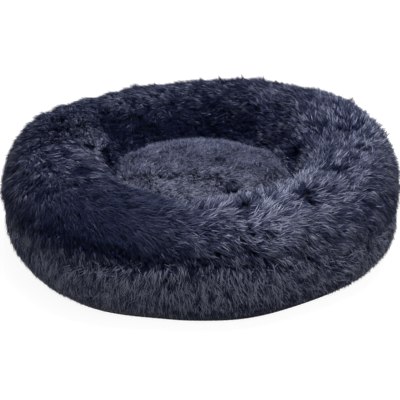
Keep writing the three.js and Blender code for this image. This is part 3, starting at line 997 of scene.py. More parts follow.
def half_outline(side):
    """Points of the underside's outline on one side of the zip, evenly spaced from +X round to -X."""
    azimuths = np.arange(0, 360, outline_step_degrees) - 90 * side
    line = place(azimuths, foot_radius(azimuths) - binding_width - clearance, 0 * azimuths)
    line = line[side * line[:, 1] > half_gap][::side]
    line[[0, -1], 1] = side * half_gap
    gone = np.append(0, np.cumsum(np.linalg.norm(np.diff(line, axis=0), axis=1)))
    at = np.linspace(0, gone[-1], path_steps + 1)
    return np.stack([np.interp(at, gone, line[:, k]) for k in range(3)], -1)


def half_slot(side, offset):
    """Points round one side of the slot, offset outwards: a short end, the long side, a short end."""
    t = np.arange(path_steps + 1)
    corners = [0, end_steps, path_steps - end_steps, path_steps]
    long, wide = slot_half_length + offset, slot_half_width + offset
    x = np.interp(t, corners, [long, long, -long, -long])
    y = np.interp(t, corners, [half_gap, wide, wide, half_gap])
    return np.stack([x, side * y, 0 * x], -1)


def panel_faces(side):
    """The top and the sole of a panel: rows follow the slot's edge, columns go out to the outline."""
    hem = np.stack([half_slot(side, offset) for offset in hem_offsets], 1)
    shares = np.linspace(0, 1, panel_steps_out)[1:, None]
    out = hem[:, -1:] + (half_outline(side)[:, None] - hem[:, -1:]) * shares
    flat = np.concatenate([hem, out], 1)
    top, sole = flat.copy(), flat.copy()
    far = np.full(len(shares), base_thickness)
    top[..., 2] = np.append(hem_tops, far) - panel_ripple * (1 + waves(flat, 0.05, 51))
    sole[..., 2] = np.append(hem_soles, 0 * far + panel_sole)
    return top, sole


for key, side in (("back", 1), ("front", -1)):
    top, sole = panel_faces(side)
    panel = cloth(f"base_cloth_{key}", top, sole, base_weave)
    dress(panel, "base_cloth", f"base_panel_{key}")

# %% Grip dots
dot_pitch = 15 * mm
dot_radius = 2.6 * mm
dot_height = 0.66 * mm
dot_sinking = 0.05 * mm  # into the cloth
dots_reach = 0.3  # from the middle of the bed
dots_off_edge = 16 * mm
dots_off_hem = 5 * mm
dots_off_seam = 1 * mm


def grip_dot():
    """A flat dome: radius times the cosine and height times the sine of its rise."""
    rise = np.radians(np.array([0, 35, 65]))[:, None]
    turn = np.linspace(0, 2 * np.pi, 10, endpoint=False)[None]
    return stack(np.stack([
        dot_radius * np.cos(rise) * np.cos(turn), dot_radius * np.cos(rise) * np.sin(turn),
        dot_height * np.sin(rise) + 0 * turn,
    ], -1))


def dot_places():
    """A grid of dots in offset rows, without those near the hem, the seam or the outline."""
    reach = int(dots_reach / dot_pitch)
    column, row = np.meshgrid(np.arange(-reach, reach + 1), np.arange(-reach, reach + 1))
    spots = np.stack([column + row % 2 / 2, row * math.sqrt(3) / 2, 0 * row], -1).reshape(-1, 3)
    spots = spots * dot_pitch + [0, 0, panel_sole + dot_sinking]
    from_centre = spots - ring_centre
    azimuth = np.degrees(np.arctan2(from_centre[:, 1], from_centre[:, 0]))
    within = np.hypot(from_centre[:, 0], from_centre[:, 1]) < foot_radius(azimuth) - dots_off_edge
    beyond = np.abs(spots[:, :2]) - [slot_half_length, slot_half_width] - hem_width - dots_off_hem
    off_seam = np.abs(spots[:, 1]) > dot_radius + dots_off_seam
    return spots[within & off_seam & (beyond.max(1) > 0)]


spots = dot_places()
facing_down = np.tile([0.0, 0.0, -1.0], (len(spots), 1))
ahead = np.tile([1.0, 0.0, 0.0], (len(spots), 1))
dots = new_piece("grip_dots", *copies(grip_dot(), spots, ahead, facing_down), grip_rubber)
dress(dots, "base_cloth")
print("grip dots:", len(spots))

# %% Binding
binding_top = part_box("base_binding")[1][2]
binding_sides = 16
binding_step_degrees = 0.75
binding_squareness = 0.55  # the power of the section's sines and cosines
binding_pucker = 0.25 * mm
binding_puckers = 190  # round the bed


def binding_loops():
    """A flat-sided ring: the tape's section is a squared ellipse, puckered a little by its stitches."""
    azimuth = np.arange(0, 360, binding_step_degrees)[:, None]
    turn = np.linspace(0, 2 * np.pi, binding_sides, endpoint=False)[None]
    across, up = (signed_power(part, binding_squareness) for part in (np.cos(turn), np.sin(turn)))
    middle = foot_radius(azimuth) - binding_width / 2
    pucker = binding_pucker * (1 + np.sin(np.radians(azimuth) * binding_puckers)) / 2
    half_width = binding_width / 2 - pucker
    half_height = binding_top / 2 - pucker / 2
    return place(azimuth + 0 * turn, middle + half_width * across, binding_top / 2 + half_height * up)


binding = ring_body("base_binding_tape", binding_loops(), binding_weave)
dress(binding, "binding_tape", "base_binding")

# %% Stitches of the hem and the binding
stitch_length = 3.2 * mm
stitch_step = 4.4 * mm
stitch_radius = 0.32 * mm
hem_stitch_offsets = (2 * mm, 7 * mm)  # from the slot's edge
hem_stitch_height = panel_sole + 0.1 * mm
sole_stitch_inset, sole_stitch_height = 4.6 * mm, 0.15 * mm  # from the foot's edge, and up
side_stitch_inset = 0.3 * mm
stitch = spindle(stitch_length, stitch_radius)
round_azimuths = np.arange(0, 360.1, 0.5)


def stitch_row(path, up):
    """Stitches along a path. up is one direction, or a function of the places."""
    places, along = even_steps(path, stitch_step)
    rise = up(places) if callable(up) else np.tile(up, (len(places), 1))
    rise = unit(rise - along * np.einsum("ij,ij->i", rise, along)[:, None])
    return copies(stitch, places, along, rise)


def outwards(places):
    """Flat directions away from the ring's centre."""
    return unit((places - ring_centre) * [1, 1, 0])


hem_rows = [stitch_row(half_slot(side, offset) + [0, 0, hem_stitch_height], [0.0, 0.0, -1.0])
            for side in (1, -1) for offset in hem_stitch_offsets]
sole_row = place(round_azimuths, foot_radius(round_azimuths) - sole_stitch_inset,
                 sole_stitch_height + 0 * round_azimuths)
side_row = place(round_azimuths, foot_radius(round_azimuths) - side_stitch_inset,
                 binding_top / 2 + 0 * round_azimuths)
hem_stitches = new_piece("hem_stitches", *together(hem_rows), thread_twist)
dress(hem_stitches, "base_cloth")
rows = [stitch_row(sole_row, [0.0, 0.0, -1.0]), stitch_row(side_row, outwards)]
binding_stitches = new_piece("binding_stitches", *together(rows), thread_twist)
dress(binding_stitches, "binding_tape")
stitch_faces = len(hem_stitches.data.polygons) + len(binding_stitches.data.polygons)
print("stitches:", stitch_faces // len(stitch[1]))

# %% [markdown]
# ## The care label
# A folded satin label is caught in the seam at the back. It is blank. It leaves the seam at half
# height, drops to the floor and curls up a little at its corners.

# %% Care label
label_azimuth = 105.0
label_width = 34 * mm
label_reach = 30 * mm
label_drop = 6 * mm
label_curl = 1.6 * mm
label_thickness = 0.8 * mm


def label_face(share_across, share_out, off):
    """Out from the seam: it sinks by a smooth step over the drop's length, then curls up as the
    third power of the way out and the second of the way across."""
    away = place(np.array(label_azimuth), np.array(1.0), np.array(0.0)) - ring_centre
    beside = np.array([-away[1], away[0], 0.0])
    start = foot_radius(np.array(label_azimuth)) + clearance
    out = share_out * label_reach
    sink = smooth_step(out, 0, label_drop)
    height = binding_top / 2 * (1 - sink) + clearance * sink + off
    height = height + label_curl * share_out**3 * (0.4 + share_across**2)
    across = share_across * label_width / 2
    flat = ring_centre + (start + out)[..., None] * away + across[..., None] * beside
    return flat + height[..., None] * [0, 0, 1]


label_across, label_out = np.meshgrid(np.linspace(-1, 1, 25), np.linspace(0, 1, 40), indexing="ij")
label_round = 1 - 0.5 * np.maximum(np.abs(label_across), label_out) ** 12
label = cloth("care_label_cloth", label_face(label_across, label_out, label_thickness * label_round),
              label_face(label_across, label_out, label_thickness * (1 - label_round)), label_satin)
dress(label, "label_cloth", "care_label")

# %% [markdown]
# ## The zip
# Two twill tapes are sewn under the hems, and each carries a nylon coil wound round and round, whose
# loops hook into the other's. A strip of cloth lies behind them and keeps the fibre out of the
# coils. The slider has two plates joined by a bridge, an arched bail under it, and a pull that hangs
# in the bail.

# %% Tapes
# Cords are (distance from the edge, spread, share of the full thickness).
tape_cord = (0.9 * mm, 0.8 * mm, 1)
tape_selvage = (0.6 * mm, 0.5 * mm, 0.35)
tape_web = 0.6  # thickness between the cords, as a share


def tape(key, side):
    """A flat strip with a thicker cord along the edge that carries the coil, and a thinner selvage."""
    low, high = (np.array(list(corner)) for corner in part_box(f"zip_tape_{key}"))
    near, far = sorted([abs(low[1]), abs(high[1])])
    x, share = np.meshgrid(np.linspace(low[0], high[0], 120), np.linspace(0, 1, 16), indexing="ij")
    y = near + (far - near) * share
    cord = sum(thick * bell(off_edge - at, spread) for off_edge, (at, spread, thick) in
               ((y - near, tape_cord), (far - y, tape_selvage)))
    edge = 1 - np.abs(2 * share - 1) ** 30
    thick = tape_web + (1 - tape_web) * np.minimum(cord, 1)
    half = (high[2] - low[2]) / 2 * thick * (0.3 + 0.7 * edge)
    middle = (high[2] + low[2]) / 2
    top = np.stack([x, side * y, middle + half], -1)
    sole = np.stack([x, side * y, middle - half], -1)
    piece = cloth(f"zip_tape_cloth_{key}", top, sole, tape_twill)
    dress(piece, "zip_tape", f"zip_tape_{key}")


# %% Coils
coil_pitch = 1.4 * mm
coil_wire = 0.3 * mm
coil_reach_in = 0.2 * mm  # how much nearer the loops' heads come to the other tape
coil_steps = 11  # a turn
wire_sides = 5


def coil(key, side):
    """A helix along the zip: the wire's middle goes round a flat ellipse, one turn a pitch."""
    low, high = (np.array(list(corner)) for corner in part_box(f"zip_coil_{key}"))
    (low if side > 0 else high)[1] -= side * coil_reach_in
    turns = int((high[0] - low[0] - 2 * coil_wire) / coil_pitch - 0.5)
    t = np.arange(turns * coil_steps + 1) / coil_steps
    turn = 2 * np.pi * t
    half = (high - low) / 2 - coil_wire
    middle = (low + high) / 2
    shift = coil_pitch / 4 * side  # so that the loops of the two coils lie between each other
    spine = middle + np.stack([
        (t - turns / 2) * coil_pitch + shift, half[1] * np.cos(turn), half[2] * np.sin(turn),
    ], -1)
    ahead = unit(np.gradient(spine, axis=0))
    out = unit(spine - middle * [0, 1, 1] - spine * [1, 0, 0])
    aside = unit(np.cross(ahead, out))
    round_wire = np.linspace(0, 2 * np.pi, wire_sides, endpoint=False)
    loops = spine[:, None] + coil_wire * (np.cos(round_wire)[None, :, None] * out[:, None]
                                          + np.sin(round_wire)[None, :, None] * aside[:, None])
    piece = new_piece(f"zip_coil_wire_{key}", *stack(loops), coil_nylon)
    dress(piece, "zip_coil", f"zip_coil_{key}")
    print(piece.name, turns, "turns")


for key, side in (("back", 1), ("front", -1)):
    tape(key, side)
    coil(key, side)

# %% Flap behind the zip
flap_thickness = 0.3 * mm
flap_reach = np.array([slot_half_length + 7 * mm, 17.5 * mm])
flap_slope_across = (5.6 * mm, 12 * mm)  # where it comes down beside the slider's path
flap_slope_along = (142 * mm, 154 * mm)  # and beyond its ends
flap_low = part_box("zip_tape_back")[1][2] + clearance
flap_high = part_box("zip_slider")[1][2] + clearance / 2


def flap_face(off):
    """A strip of cloth that lies on the tapes and rises over the slider's path by smooth steps."""
    x, y = np.meshgrid(np.linspace(-1, 1, 100) * flap_reach[0], np.linspace(-1, 1, 24) * flap_reach[1],
                       indexing="ij")
    across = 1 - smooth_step(np.abs(y), *flap_slope_across)
    along = 1 - smooth_step(np.abs(x), *flap_slope_along)
    return np.stack([x, y, flap_low + off + (flap_high - flap_low) * across * along], -1)


flap = cloth("zip_flap", flap_face(flap_thickness), flap_face(0), base_weave)
dress(flap, "base_cloth")

# %% Stops
stop_leg = 1.1 * mm
stop_waist = np.array([0.2, 0, 0.5]) * mm  # how far the waist is drawn in from the legs
stop_waist_half = 1.6 * mm


def clamp(low, high):
    """A bent metal clamp: a leg under the coils, a leg over them, and a waist that joins the two."""
    middle = (high + low) / 2
    waist_low, waist_high = low + stop_waist, high - stop_waist
    waist_low[1], waist_high[1] = middle[1] - stop_waist_half, middle[1] + stop_waist_half
    return together([
        rounded_block(low, [high[0], high[1], low[2] + stop_leg]),
        rounded_block([low[0], low[1], high[2] - stop_leg], high),
        rounded_block(waist_low, waist_high),
    ])


for key in ("left", "right"):
    low, high = (np.array(list(corner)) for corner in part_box(f"zip_stop_{key}"))
    stop = new_piece(f"zip_stop_clamp_{key}", *clamp(low, high), zip_metal)
    dress(stop, "zip_metal", f"zip_stop_{key}")

# %% Slider
slider_low, slider_high = (np.array(list(corner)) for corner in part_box("zip_slider"))
slider_x = (slider_low[0] + slider_high[0]) / 2
slider_half = (slider_high[0] - slider_low[0]) / 2
slider_wide = slider_high[1]
slider_wall = 1.3 * mm
plate_low = 3.9 * mm
plate_high = slider_high[2]
plate_taper = 0.35 * mm
plate_bevel = 0.35 * mm
plate_squareness = 0.6  # the power of the outline's sines and cosines
coil_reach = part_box("zip_coil_back")[1][1] + clearance
tape_middle = 6.7 * mm
tape_room = 0.7 * mm
lip_short = 0.8 * mm
lip_inset = 0.5 * mm
lip_sinking = 0.9 * mm  # into the plates
bridge_start, bridge_short = 1 * mm, 0.3 * mm
bridge_half_width = 0.4 * mm
bridge_sinking = 0.8 * mm
bail_half_length, bail_drop, bail_height = 2.95 * mm, 2.85 * mm, 4.4 * mm
bail_half_thickness, bail_half_width = 0.52 * mm, 1.05 * mm


def plate(outline, low, high, bevel):
    """A flat plate over an outline, with its edges bevelled towards the outline's middle."""
    middle = outline.mean(0)
    drawn_in = outline - bevel * unit(outline - middle)
    levels = [(drawn_in, low), (outline, low + bevel), (outline, high - bevel), (drawn_in, high)]
    return stack(np.stack([np.column_stack([line, np.full(len(line), z)]) for line, z in levels]))


def slider_shells():
    """Two plates, four lips round the tapes, the bridge between the coils and the bail below."""
    turn = np.linspace(0, 2 * np.pi, 40, endpoint=False)
    x = slider_half * signed_power(np.cos(turn), plate_squareness)
    width = slider_wide - plate_taper * (1 - x / slider_half)
    outline = np.column_stack([slider_x + x, signed_power(np.sin(turn), plate_squareness) * width])
    shells = [plate(outline, plate_low, plate_low + slider_wall, plate_bevel),
              plate(outline, plate_high - slider_wall, plate_high, plate_bevel)]
    reach = slider_half - lip_short
    for y0, y1 in ((coil_reach, slider_wide - lip_inset), (lip_inset - slider_wide, -coil_reach)):
        shells.append(rounded_block([slider_x - reach, y0, plate_low + lip_sinking],
                                    [slider_x + reach, y1, tape_middle - tape_room]))
        shells.append(rounded_block([slider_x - reach, y0, tape_middle + tape_room],
                                    [slider_x + reach, y1, plate_high - lip_sinking]))
    bridge_end = slider_x + slider_half - bridge_short
    shells.append(rounded_block([slider_x + bridge_start, -bridge_half_width, plate_low + bridge_sinking],
                                [bridge_end, bridge_half_width, plate_high - bridge_sinking]))
    return together([*shells, bail()])


def bail():
    """An arch under the lower plate: a squared half ellipse with a flat section."""
    arch = np.radians(np.linspace(0, 180, 25))
    spine = np.stack([
        slider_x - bail_half_length * signed_power(np.cos(arch), plate_squareness), 0 * arch,
        bail_height - bail_drop * signed_power(np.sin(arch), plate_squareness),
    ], -1)
    ahead = unit(np.gradient(spine, axis=0))
    aside = np.array([0.0, 1.0, 0.0])
    out = np.cross(ahead, aside)
    section = np.linspace(0, 2 * np.pi, 12, endpoint=False)
    return stack(spine[:, None] + (
        bail_half_thickness * np.cos(section)[None, :, None] * out[:, None]
        + bail_half_width * np.sin(section)[None, :, None] * aside))


slider = new_piece("zip_slider_body", *slider_shells(), zip_metal)
dress(slider, "zip_metal", "zip_slider", body="slider")

# %% Pull
pull_low, pull_high = (np.array(list(corner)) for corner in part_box("zip_pull"))
pull_z = (pull_low[2] + pull_high[2]) / 2
pull_half_width = pull_high[1]
pull_half_height = pull_high[2] - pull_z
pull_front = pull_high[0]
# Along the pull, from its front: where its bar and its ribs, in mm, and its two frames are.
bar_ends = (-21.5, -7.9)
rib_places = (-17.2, -14.8, -12.4)
front_outer, front_inner = (-8.6 * mm, 0.0), (-7.6 * mm, -1.2 * mm)
back_outer, back_inner = (-27.6 * mm, -20.6 * mm), (-26.1 * mm, -22.6 * mm)
front_hole_half, back_hole_half = 1.4 * mm, 2.0 * mm
rib_half_length, rib_half_width = 0.5 * mm, 2.3 * mm
bar_width_share, bar_waist_share, bar_height_share = 0.92, 0.16, 0.8
bar_bevel = 0.2 * mm
frame_squareness = 0.45


def frame_loops(outer_x, outer_y, inner_x, inner_y):
    """A flat frame: rows go round between two squared ellipses, columns round its section."""
    turn = np.linspace(0, 2 * np.pi, 48, endpoint=False)
    across, up = (signed_power(part, frame_squareness) for part in (np.cos(turn), np.sin(turn)))

    def line(ends, half):
        """A squared ellipse between two ends along the pull, and as far as half to each side."""
        middle, reach = (ends[0] + ends[1]) / 2, (ends[1] - ends[0]) / 2
        return np.column_stack([pull_front + middle + reach * across, half * up, pull_z + 0 * up])

    inner, outer = line(inner_x, inner_y), line(outer_x, outer_y)
    mixes = np.array([0, 0.2, 0.8, 1, 1, 0.8, 0.2, 0])[None, :, None]
    rises = pull_half_height * np.array([-0.5, -1, -1, -0.5, 0.5, 1, 1, 0.5])
    loops = inner[:, None] + (outer - inner)[:, None] * mixes
    loops[..., 2] += rises
    return loops


def frame_shell(*sizes):
    """A frame's loops as a closed shell of triangles."""
    loops = frame_loops(*sizes)
    points = loops.reshape(-1, 3)
    quads = faces_outward(points, grid_faces(*loops.shape[:2], wrap_rows=True, wrap_columns=True))
    return points, np.concatenate([quads[:, [0, 1, 2]], quads[:, [0, 2, 3]]])


def pull_shells():
    """A frame round the bail, a waisted bar with three ribs, and a frame at the end."""
    x = np.linspace(*bar_ends, 16) * mm
    waist = np.sin(np.pi * (x - x[0]) / np.ptp(x))
    side = np.column_stack([
        pull_front + x, pull_half_width * (bar_width_share - bar_waist_share * waist),
    ])
    outline = np.concatenate([side, side[::-1] * [1, -1]])
    bar_half_height = bar_height_share * pull_half_height
    bar = plate(outline, pull_z - bar_half_height, pull_z + bar_half_height, bar_bevel)
    ribs = [rounded_block(
        [pull_front + at * mm - rib_half_length, -rib_half_width, pull_z - pull_half_height],
        [pull_front + at * mm + rib_half_length, rib_half_width, pull_z + pull_half_height],
    ) for at in rib_places]
    front = frame_shell(front_outer, pull_half_width, front_inner, front_hole_half)
    back = frame_shell(back_outer, pull_half_width, back_inner, back_hole_half)
    return together([bar, *ribs, front, back])


pull = new_piece("zip_pull_plate", *pull_shells(), zip_metal)
dress(pull, "zip_metal", "zip_pull", body="pull")

# %% [markdown]
# ## The ring's nap
# The cloth was cut so that its pile runs round the bed: on the crest the strands lie along the ring,
# and lower down they turn more and more towards the floor. On top of that the bed has been stroked
# and pressed, so lobes round the ring turn the nap and raise it, and lobes of paleness change its
# tone: partly the pile's own, partly painted light and shade of how the light falls on the ring.
# Where the pile parts, the tufts lean away from a spot and show the dark below, painted as shade on
# the tufts near it.

# %% How the ring's nap turns
turn_at_belly = 20  # degrees from straight down the outside towards running round the bed
turn_per_lift = 0.75
turn_most_lift = 95
# Lobes are (azimuth, spread, amount): here, degrees of turn.
turn_lobes = ((168, 14, -10), (196, 22, 44), (52, 16, -8), (90, 50, 8), (216, 26, -10))
turn_lobes_full_lift = 60  # they grow from the belly up to here
front_turn_lobes = ((288, 40, 28), (341, 16, -34))
front_turn_fades = (85, 110)  # lifts
outer_turn_lobes = ((196, 18, -50),)
outer_turn_fades = (55, 85)
slow_turn, quick_turn = 20, 22  # degrees, by waves of 80 and of 30 mm
# A patch is (azimuth, spread, lift, spread of lift). On the front crest the tufts stand up towards
# the seat, and at the front left they lie calm and even.
upright_patch = (284, 26, 108, 20)
upright_push = 2
calm_patch = (238, 30, 60, 50)
calm_share = 0.88


def on_patch(azimuth, lift, patch):
    """A bump on the ring: a bell over the azimuth times a bell over the lift."""
    at, spread, height, tall = patch
    return bell(apart(azimuth, at), spread) * bell(lift - height, tall)


def ring_turn(points, azimuth, lift, lively):
    """Degrees from straight down the outside towards running round the bed: they grow with the
    lift, and lobes and slow waves change them."""
    turn = turn_at_belly + turn_per_lift * np.clip(lift, 0, turn_most_lift)
    turn = turn + swell(azimuth, turn_lobes) * np.clip(lift / turn_lobes_full_lift, 0, 1)
    turn = turn + swell(azimuth, front_turn_lobes) * (1 - smooth_step(lift, *front_turn_fades))
    turn = turn + swell(azimuth, outer_turn_lobes) * (1 - smooth_step(lift, *outer_turn_fades))
    slow, quick = waves(points, 0.08, 11), waves(points, 0.03, 15)
    return turn + lively * (slow_turn * slow + quick_turn * quick)


# %% Partings
# A parting is (azimuth, lift, radius).
ring_partings = ((8, 89, 16 * mm), (334, 92, 19 * mm), (311, 76, 17 * mm), (288, 85, 17 * mm),
                 (173, 150, 19 * mm), (210, 98, 14 * mm), (14, 148, 18 * mm))
parting_push = 1.2
parting_reach = (0.4, 1.3)  # of the radius: dark up to the first, and no more from the second
shown_reach = 11 * mm  # from a tuft's root to the middle of what shows of it


def parted(points, heading, partings, at):
    """Turns tufts away from each parting by unit vectors away from its centre, and tells from 0 to 1
    how close to a parting the part of each tuft comes that shows. at(a, b) gives a centre."""
    push, close = np.zeros_like(points), np.zeros(len(points))
    shown = points + shown_reach * unit(heading)
    for a, b, radius in partings:
        centre = at(np.array([a]), np.array([b]))
        gap = points - centre
        push += unit(gap) * bell(np.linalg.norm(gap, axis=1), radius)[:, None]
        distance = np.linalg.norm(shown - centre, axis=1)
        dark, clear = (share * radius for share in parting_reach)
        close = np.maximum(close, 1 - smooth_step(distance, dark, clear))
    return heading + parting_push * push, close


# %% [markdown]
# At the front left the ring sags over the band, so the pile just above the crease hangs down like the
# band's and looks like it, and the fold seems to lie higher than the seam. The cloth below can't
# show that, so the overhang is given to the pile.

# %% Overhang
overhang_lobe = (222, 28, 24)  # azimuth, spread, and degrees of lift above the crease
overhang_edge = 6  # degrees of lift over which it fades, up and down
overhang_straight = 0.7  # how far the pile turns straight down there
fold_at, fold_spread = 240, 42  # azimuth
fold_rise, fold_width = 8, 9  # degrees of lift above the overhang


def overhang(azimuth, lift):
    """From 0 to 1, how much the pile hangs down over the crease, and how much the pile above that
    lies in the fold's shadow."""
    rise = lift - crease_line(azimuth)
    top = swell(azimuth, (overhang_lobe,)) - overhang_edge
    hang = 1 - smooth_step(rise, top - overhang_edge, top + overhang_edge)
    fold = bell(rise - top - fold_rise, fold_width) * bell(apart(azimuth, fold_at), fold_spread)
    return hang, fold


# %% How pale the ring's pile is
ring_pale = 0.44
# Lobes of paleness round the ring: partly the pile's own tone, partly painted light and shade of how the
# light falls.
pale_lobe_shares = ((5, 34, 0.02), (293, 33, 0.18), (62, 46, -0.15), (110, 40, -0.04),
                    (232, 38, -0.2), (190, 20, -0.05))
# On the nest's wall alone: painted shade at the back, where light from above and behind doesn't reach,
# and a little painted light at the front.
inner_wall_shade_lobes = ((100, 55, -0.5), (290, 60, 0.08))  # on the nest's wall alone
slow_pale, quick_pale = 0.08, 0.11
# Tufts near a parting are darkened: painted shade of the parting's depth.
parting_shade = 0.45
# A patch and its change of paleness: the pale and dark clumps of the photograph's ring.
# Some patches darken the nest's walls and hollows: that is painted shade.
pale_patches = (
    (171, 12, 130, 13, 0.44), (14, 16, 150, 18, -0.25), (262, 60, 20, 22, -0.08),
    (142, 22, 138, 30, -0.4), (335, 24, 25, 26, -0.12), (164, 24, 84, 26, -0.16),
    (6, 30, 108, 20, -0.12), (320, 30, 126, 14, -0.08),
)
# The overhang's flecks are painted glints, like the band's.
overhang_pale, overhang_clumps, overhang_glints = 0.4, 0.17, 0.45
fleck_from = 0.8  # the height of a fine wave from which it is a fleck
# The fold above the overhang is darkened by a painted shadow.
fold_shadow = 0.22


def ring_paleness(points, azimuth, lift, lively, inner, close, hang, fold):
    """Lobes and patches of tone, partly painted light and shade, slow waves, and painted shade in
    partings. The overhang takes the band's clumps and painted glints instead, and the fold gets a
    painted shadow."""
    slow, quick = waves(points, 0.05, 12), waves(points, 0.018, 13)
    pale = ring_pale + swell(azimuth, pale_lobe_shares)
    pale += lively * (slow_pale * slow + quick_pale * quick)
    pale += inner * swell(azimuth, inner_wall_shade_lobes) - parting_shade * close
    for *patch, amount in pale_patches:
        pale += amount * on_patch(azimuth, lift, patch)
    clumps, fine = waves(points, 0.016, 22), waves(points, 0.005, 25)
    flecked = overhang_pale + overhang_clumps * clumps + overhang_glints * (fine > fleck_from)
    return pale + (flecked - pale) * hang - fold_shadow * fold


# %% Nap of the ring
ring_length = 22 * mm
ring_proud = 13.5 * mm
ring_spread = 3.2 * mm
ring_stray = 0.28
strand_width = 1.2 * mm
inner_from, inner_reach = 105, 40  # lifts from which the crest's pile becomes the nest's
proud_lobe_shares = ((18, 32, 0.26), (95, 24, 0.08), (222, 44, -0.4), (286, 16, 0.15),
                     (345, 14, -0.25), (166, 10, 0.35), (50, 12, -0.12), (128, 14, -0.15))
spiky_lobes = ((15, 55, 1.0), (200, 34, 0.9), (280, 18, 0.4))  # tighter tufts, further apart


def rooted_ring(azimuth, lift):
    """Where the ring's pile is rooted."""
    return ring_surface(azimuth, lift, root_inset(lift), cloth_floor)


def ring_nap(points, normal, round_, over, azimuth, lift):
    """The heading is a sine of the turn round the bed and a cosine of it down the outside. Where the
    pile is calm, in a parting or in the fold, it is shorter and more even."""
    inner = np.clip((lift - inner_from) / inner_reach, 0, 1)
    lively = 1 - calm_share * on_patch(azimuth, lift, calm_patch)
    hang, fold = overhang(azimuth, lift)
    turn = ring_turn(points, azimuth, lift, lively)
    turn = np.radians(turn * (1 - overhang_straight * hang))[:, None]
    upright = on_patch(azimuth, lift, upright_patch)[:, None]
    heading = round_ * np.sin(turn) - over * np.cos(turn) + upright_push * upright * over
    heading, close = parted(points, heading, ring_partings, rooted_ring)
    spiky = swell(azimuth, spiky_lobes)
    proud = 1 + swell(azimuth, proud_lobe_shares) + 0.25 * waves(points, 0.025, 14)
    length = 1 + 0.12 * waves(points, 0.05, 12) - 0.2 * inner - 0.3 * close - 0.45 * fold
    return {
        "heading": heading,
        "length": ring_length * length,
        "proud": ring_proud * proud * (1 - 0.15 * inner - 0.5 * close),
        "spread": ring_spread + 0.8 * mm * spiky,
        "gather": 0.8 + 0.06 * spiky,
        "stray": ring_stray * lively[:, None],
        "loose": 0.22,
        "droop": 0.06,
        "width": strand_width,
        "mottle": 0.17 * lively + 0.05 * spiky + 0.15 * hang,
        "grain": 0.06 + 0.1 * lively + 0.06 * hang,
        "lowest": np.full(len(points), lowest_tip),
        "pale": ring_paleness(points, azimuth, lift, lively, inner, close, hang, fold),
    }


for key, sector in ring_sectors.items():
    patch = Patch(rooted_ring, sector, crease_line, always(rim_lift - 2))
    grow(f"ring_pile_{key}", patch, tufts_per_square_metre, ring_nap)

# %% [markdown]
# ## The side band's nap
# Below the crease the pile hangs down, a little forwards on the left and backwards on the right, and
# single tufts are painted paler as bright flecks: painted glints. Near the floor it is short and
# painted darker as shade, and at the front right it ends above the binding. Just under the crease
# lies a painted shadow of the ring, with a strip of painted light below that.

# %% Lobes of the band
band_turn_lobes = ((320, 34, 60), (228, 30, -4), (90, 70, 15))
band_pale_lobe_shares = ((238, 34, 0.1), (20, 60, -0.03))
band_proud_lobe_shares = ((216, 36, -0.7), (336, 28, -0.1))
stray_lobe = ((220, 26, 0.3),)
bare_lobe = ((297, 35, 1),)  # where the pile ends above the binding
shadow_at, shadow_spread = 278, 38  # azimuth, of the ring's shadow on the band
# Painted shade near the floor, deeper at the front right.
low_shade_lobe = ((288, 60, 0.3),)

# %% Nap of the band
band_length = 21 * mm
band_proud = 12 * mm
band_spread = 3.2 * mm
band_pale = 0.24
# Flecks are random tufts painted paler: painted glints.
fleck_share, fleck_glint = 0.32, 0.6  # of the tufts, and how much paler they are
low_from, low_reach = 12, 42  # degrees below the belly over which the pile grows short and dark
# Near the floor the pile is painted darker, as shade.
low_shade = 0.24
slow_band_turn, quick_band_turn = 18, 24  # degrees, by waves of 50 and of 20 mm
# The paler strip below the crease is painted light, and the shadow at the crease is painted shadow.
lit_drop, strip_width = 14, 9  # degrees of lift: a paler strip lies this far below the crease
bare_height = 10 * mm


def band_nap(points, normal, round_, over, azimuth, lift):
    """Downwards, turned by the lobes and slow waves. Flecks are drawn at random, one in three."""
    low = np.clip((-lift - low_from) / low_reach, 0, 1)
    below_crease = lift - crease_line(azimuth)
    turn = swell(azimuth, band_turn_lobes) + slow_band_turn * waves(points, 0.05, 21)
    turn = np.radians(turn + quick_band_turn * waves(points, 0.02, 23))[:, None]
    fleck = (rng.random(len(points)) < fleck_share) * fleck_glint * (1 - 0.6 * low)
    bare = swell(azimuth, bare_lobe)
    shadow = bell(below_crease, strip_width) * bell(apart(azimuth, shadow_at), shadow_spread)
    pale = band_pale + swell(azimuth, band_pale_lobe_shares) + 0.22 * waves(points, 0.016, 22) + fleck
    pale += 0.1 * bell(below_crease + lit_drop, strip_width) - 0.3 * shadow
    return {
        "heading": round_ * np.sin(turn) - over * np.cos(turn),
        "length": band_length * (1 - 0.3 * low) * (1 - 0.45 * low * bare),
        "proud": band_proud * (1 - 0.3 * low) * (1 + swell(azimuth, band_proud_lobe_shares)),
        "spread": np.full(len(points), band_spread),
        "gather": np.full(len(points), 0.8),
        "stray": 0.3 + swell(azimuth, stray_lobe)[:, None],
        "loose": 0.26,
        "droop": 0.1,
        "width": strand_width,
        "mottle": 0.36,
        "grain": np.full(len(points), 0.24),
        "lowest": lowest_tip + bare_height * bare,
        "pale": pale - (low_shade + swell(azimuth, low_shade_lobe)) * low,
    }


for key, sector in band_sectors.items():
    patch = Patch(rooted_ring, sector, always(foot_lift + 4), crease_line)
    grow(f"band_pile_{key}", patch, tufts_per_square_metre, band_nap)

# %% [markdown]
# ## The seat's nap
# The seat is paler and its pile shorter, and it stands up more, pressed this way and that by the dog
# that lies on it. It leans to the front and draws together a little on its way, and it stands
# prouder in the gutter along the front of the ring.

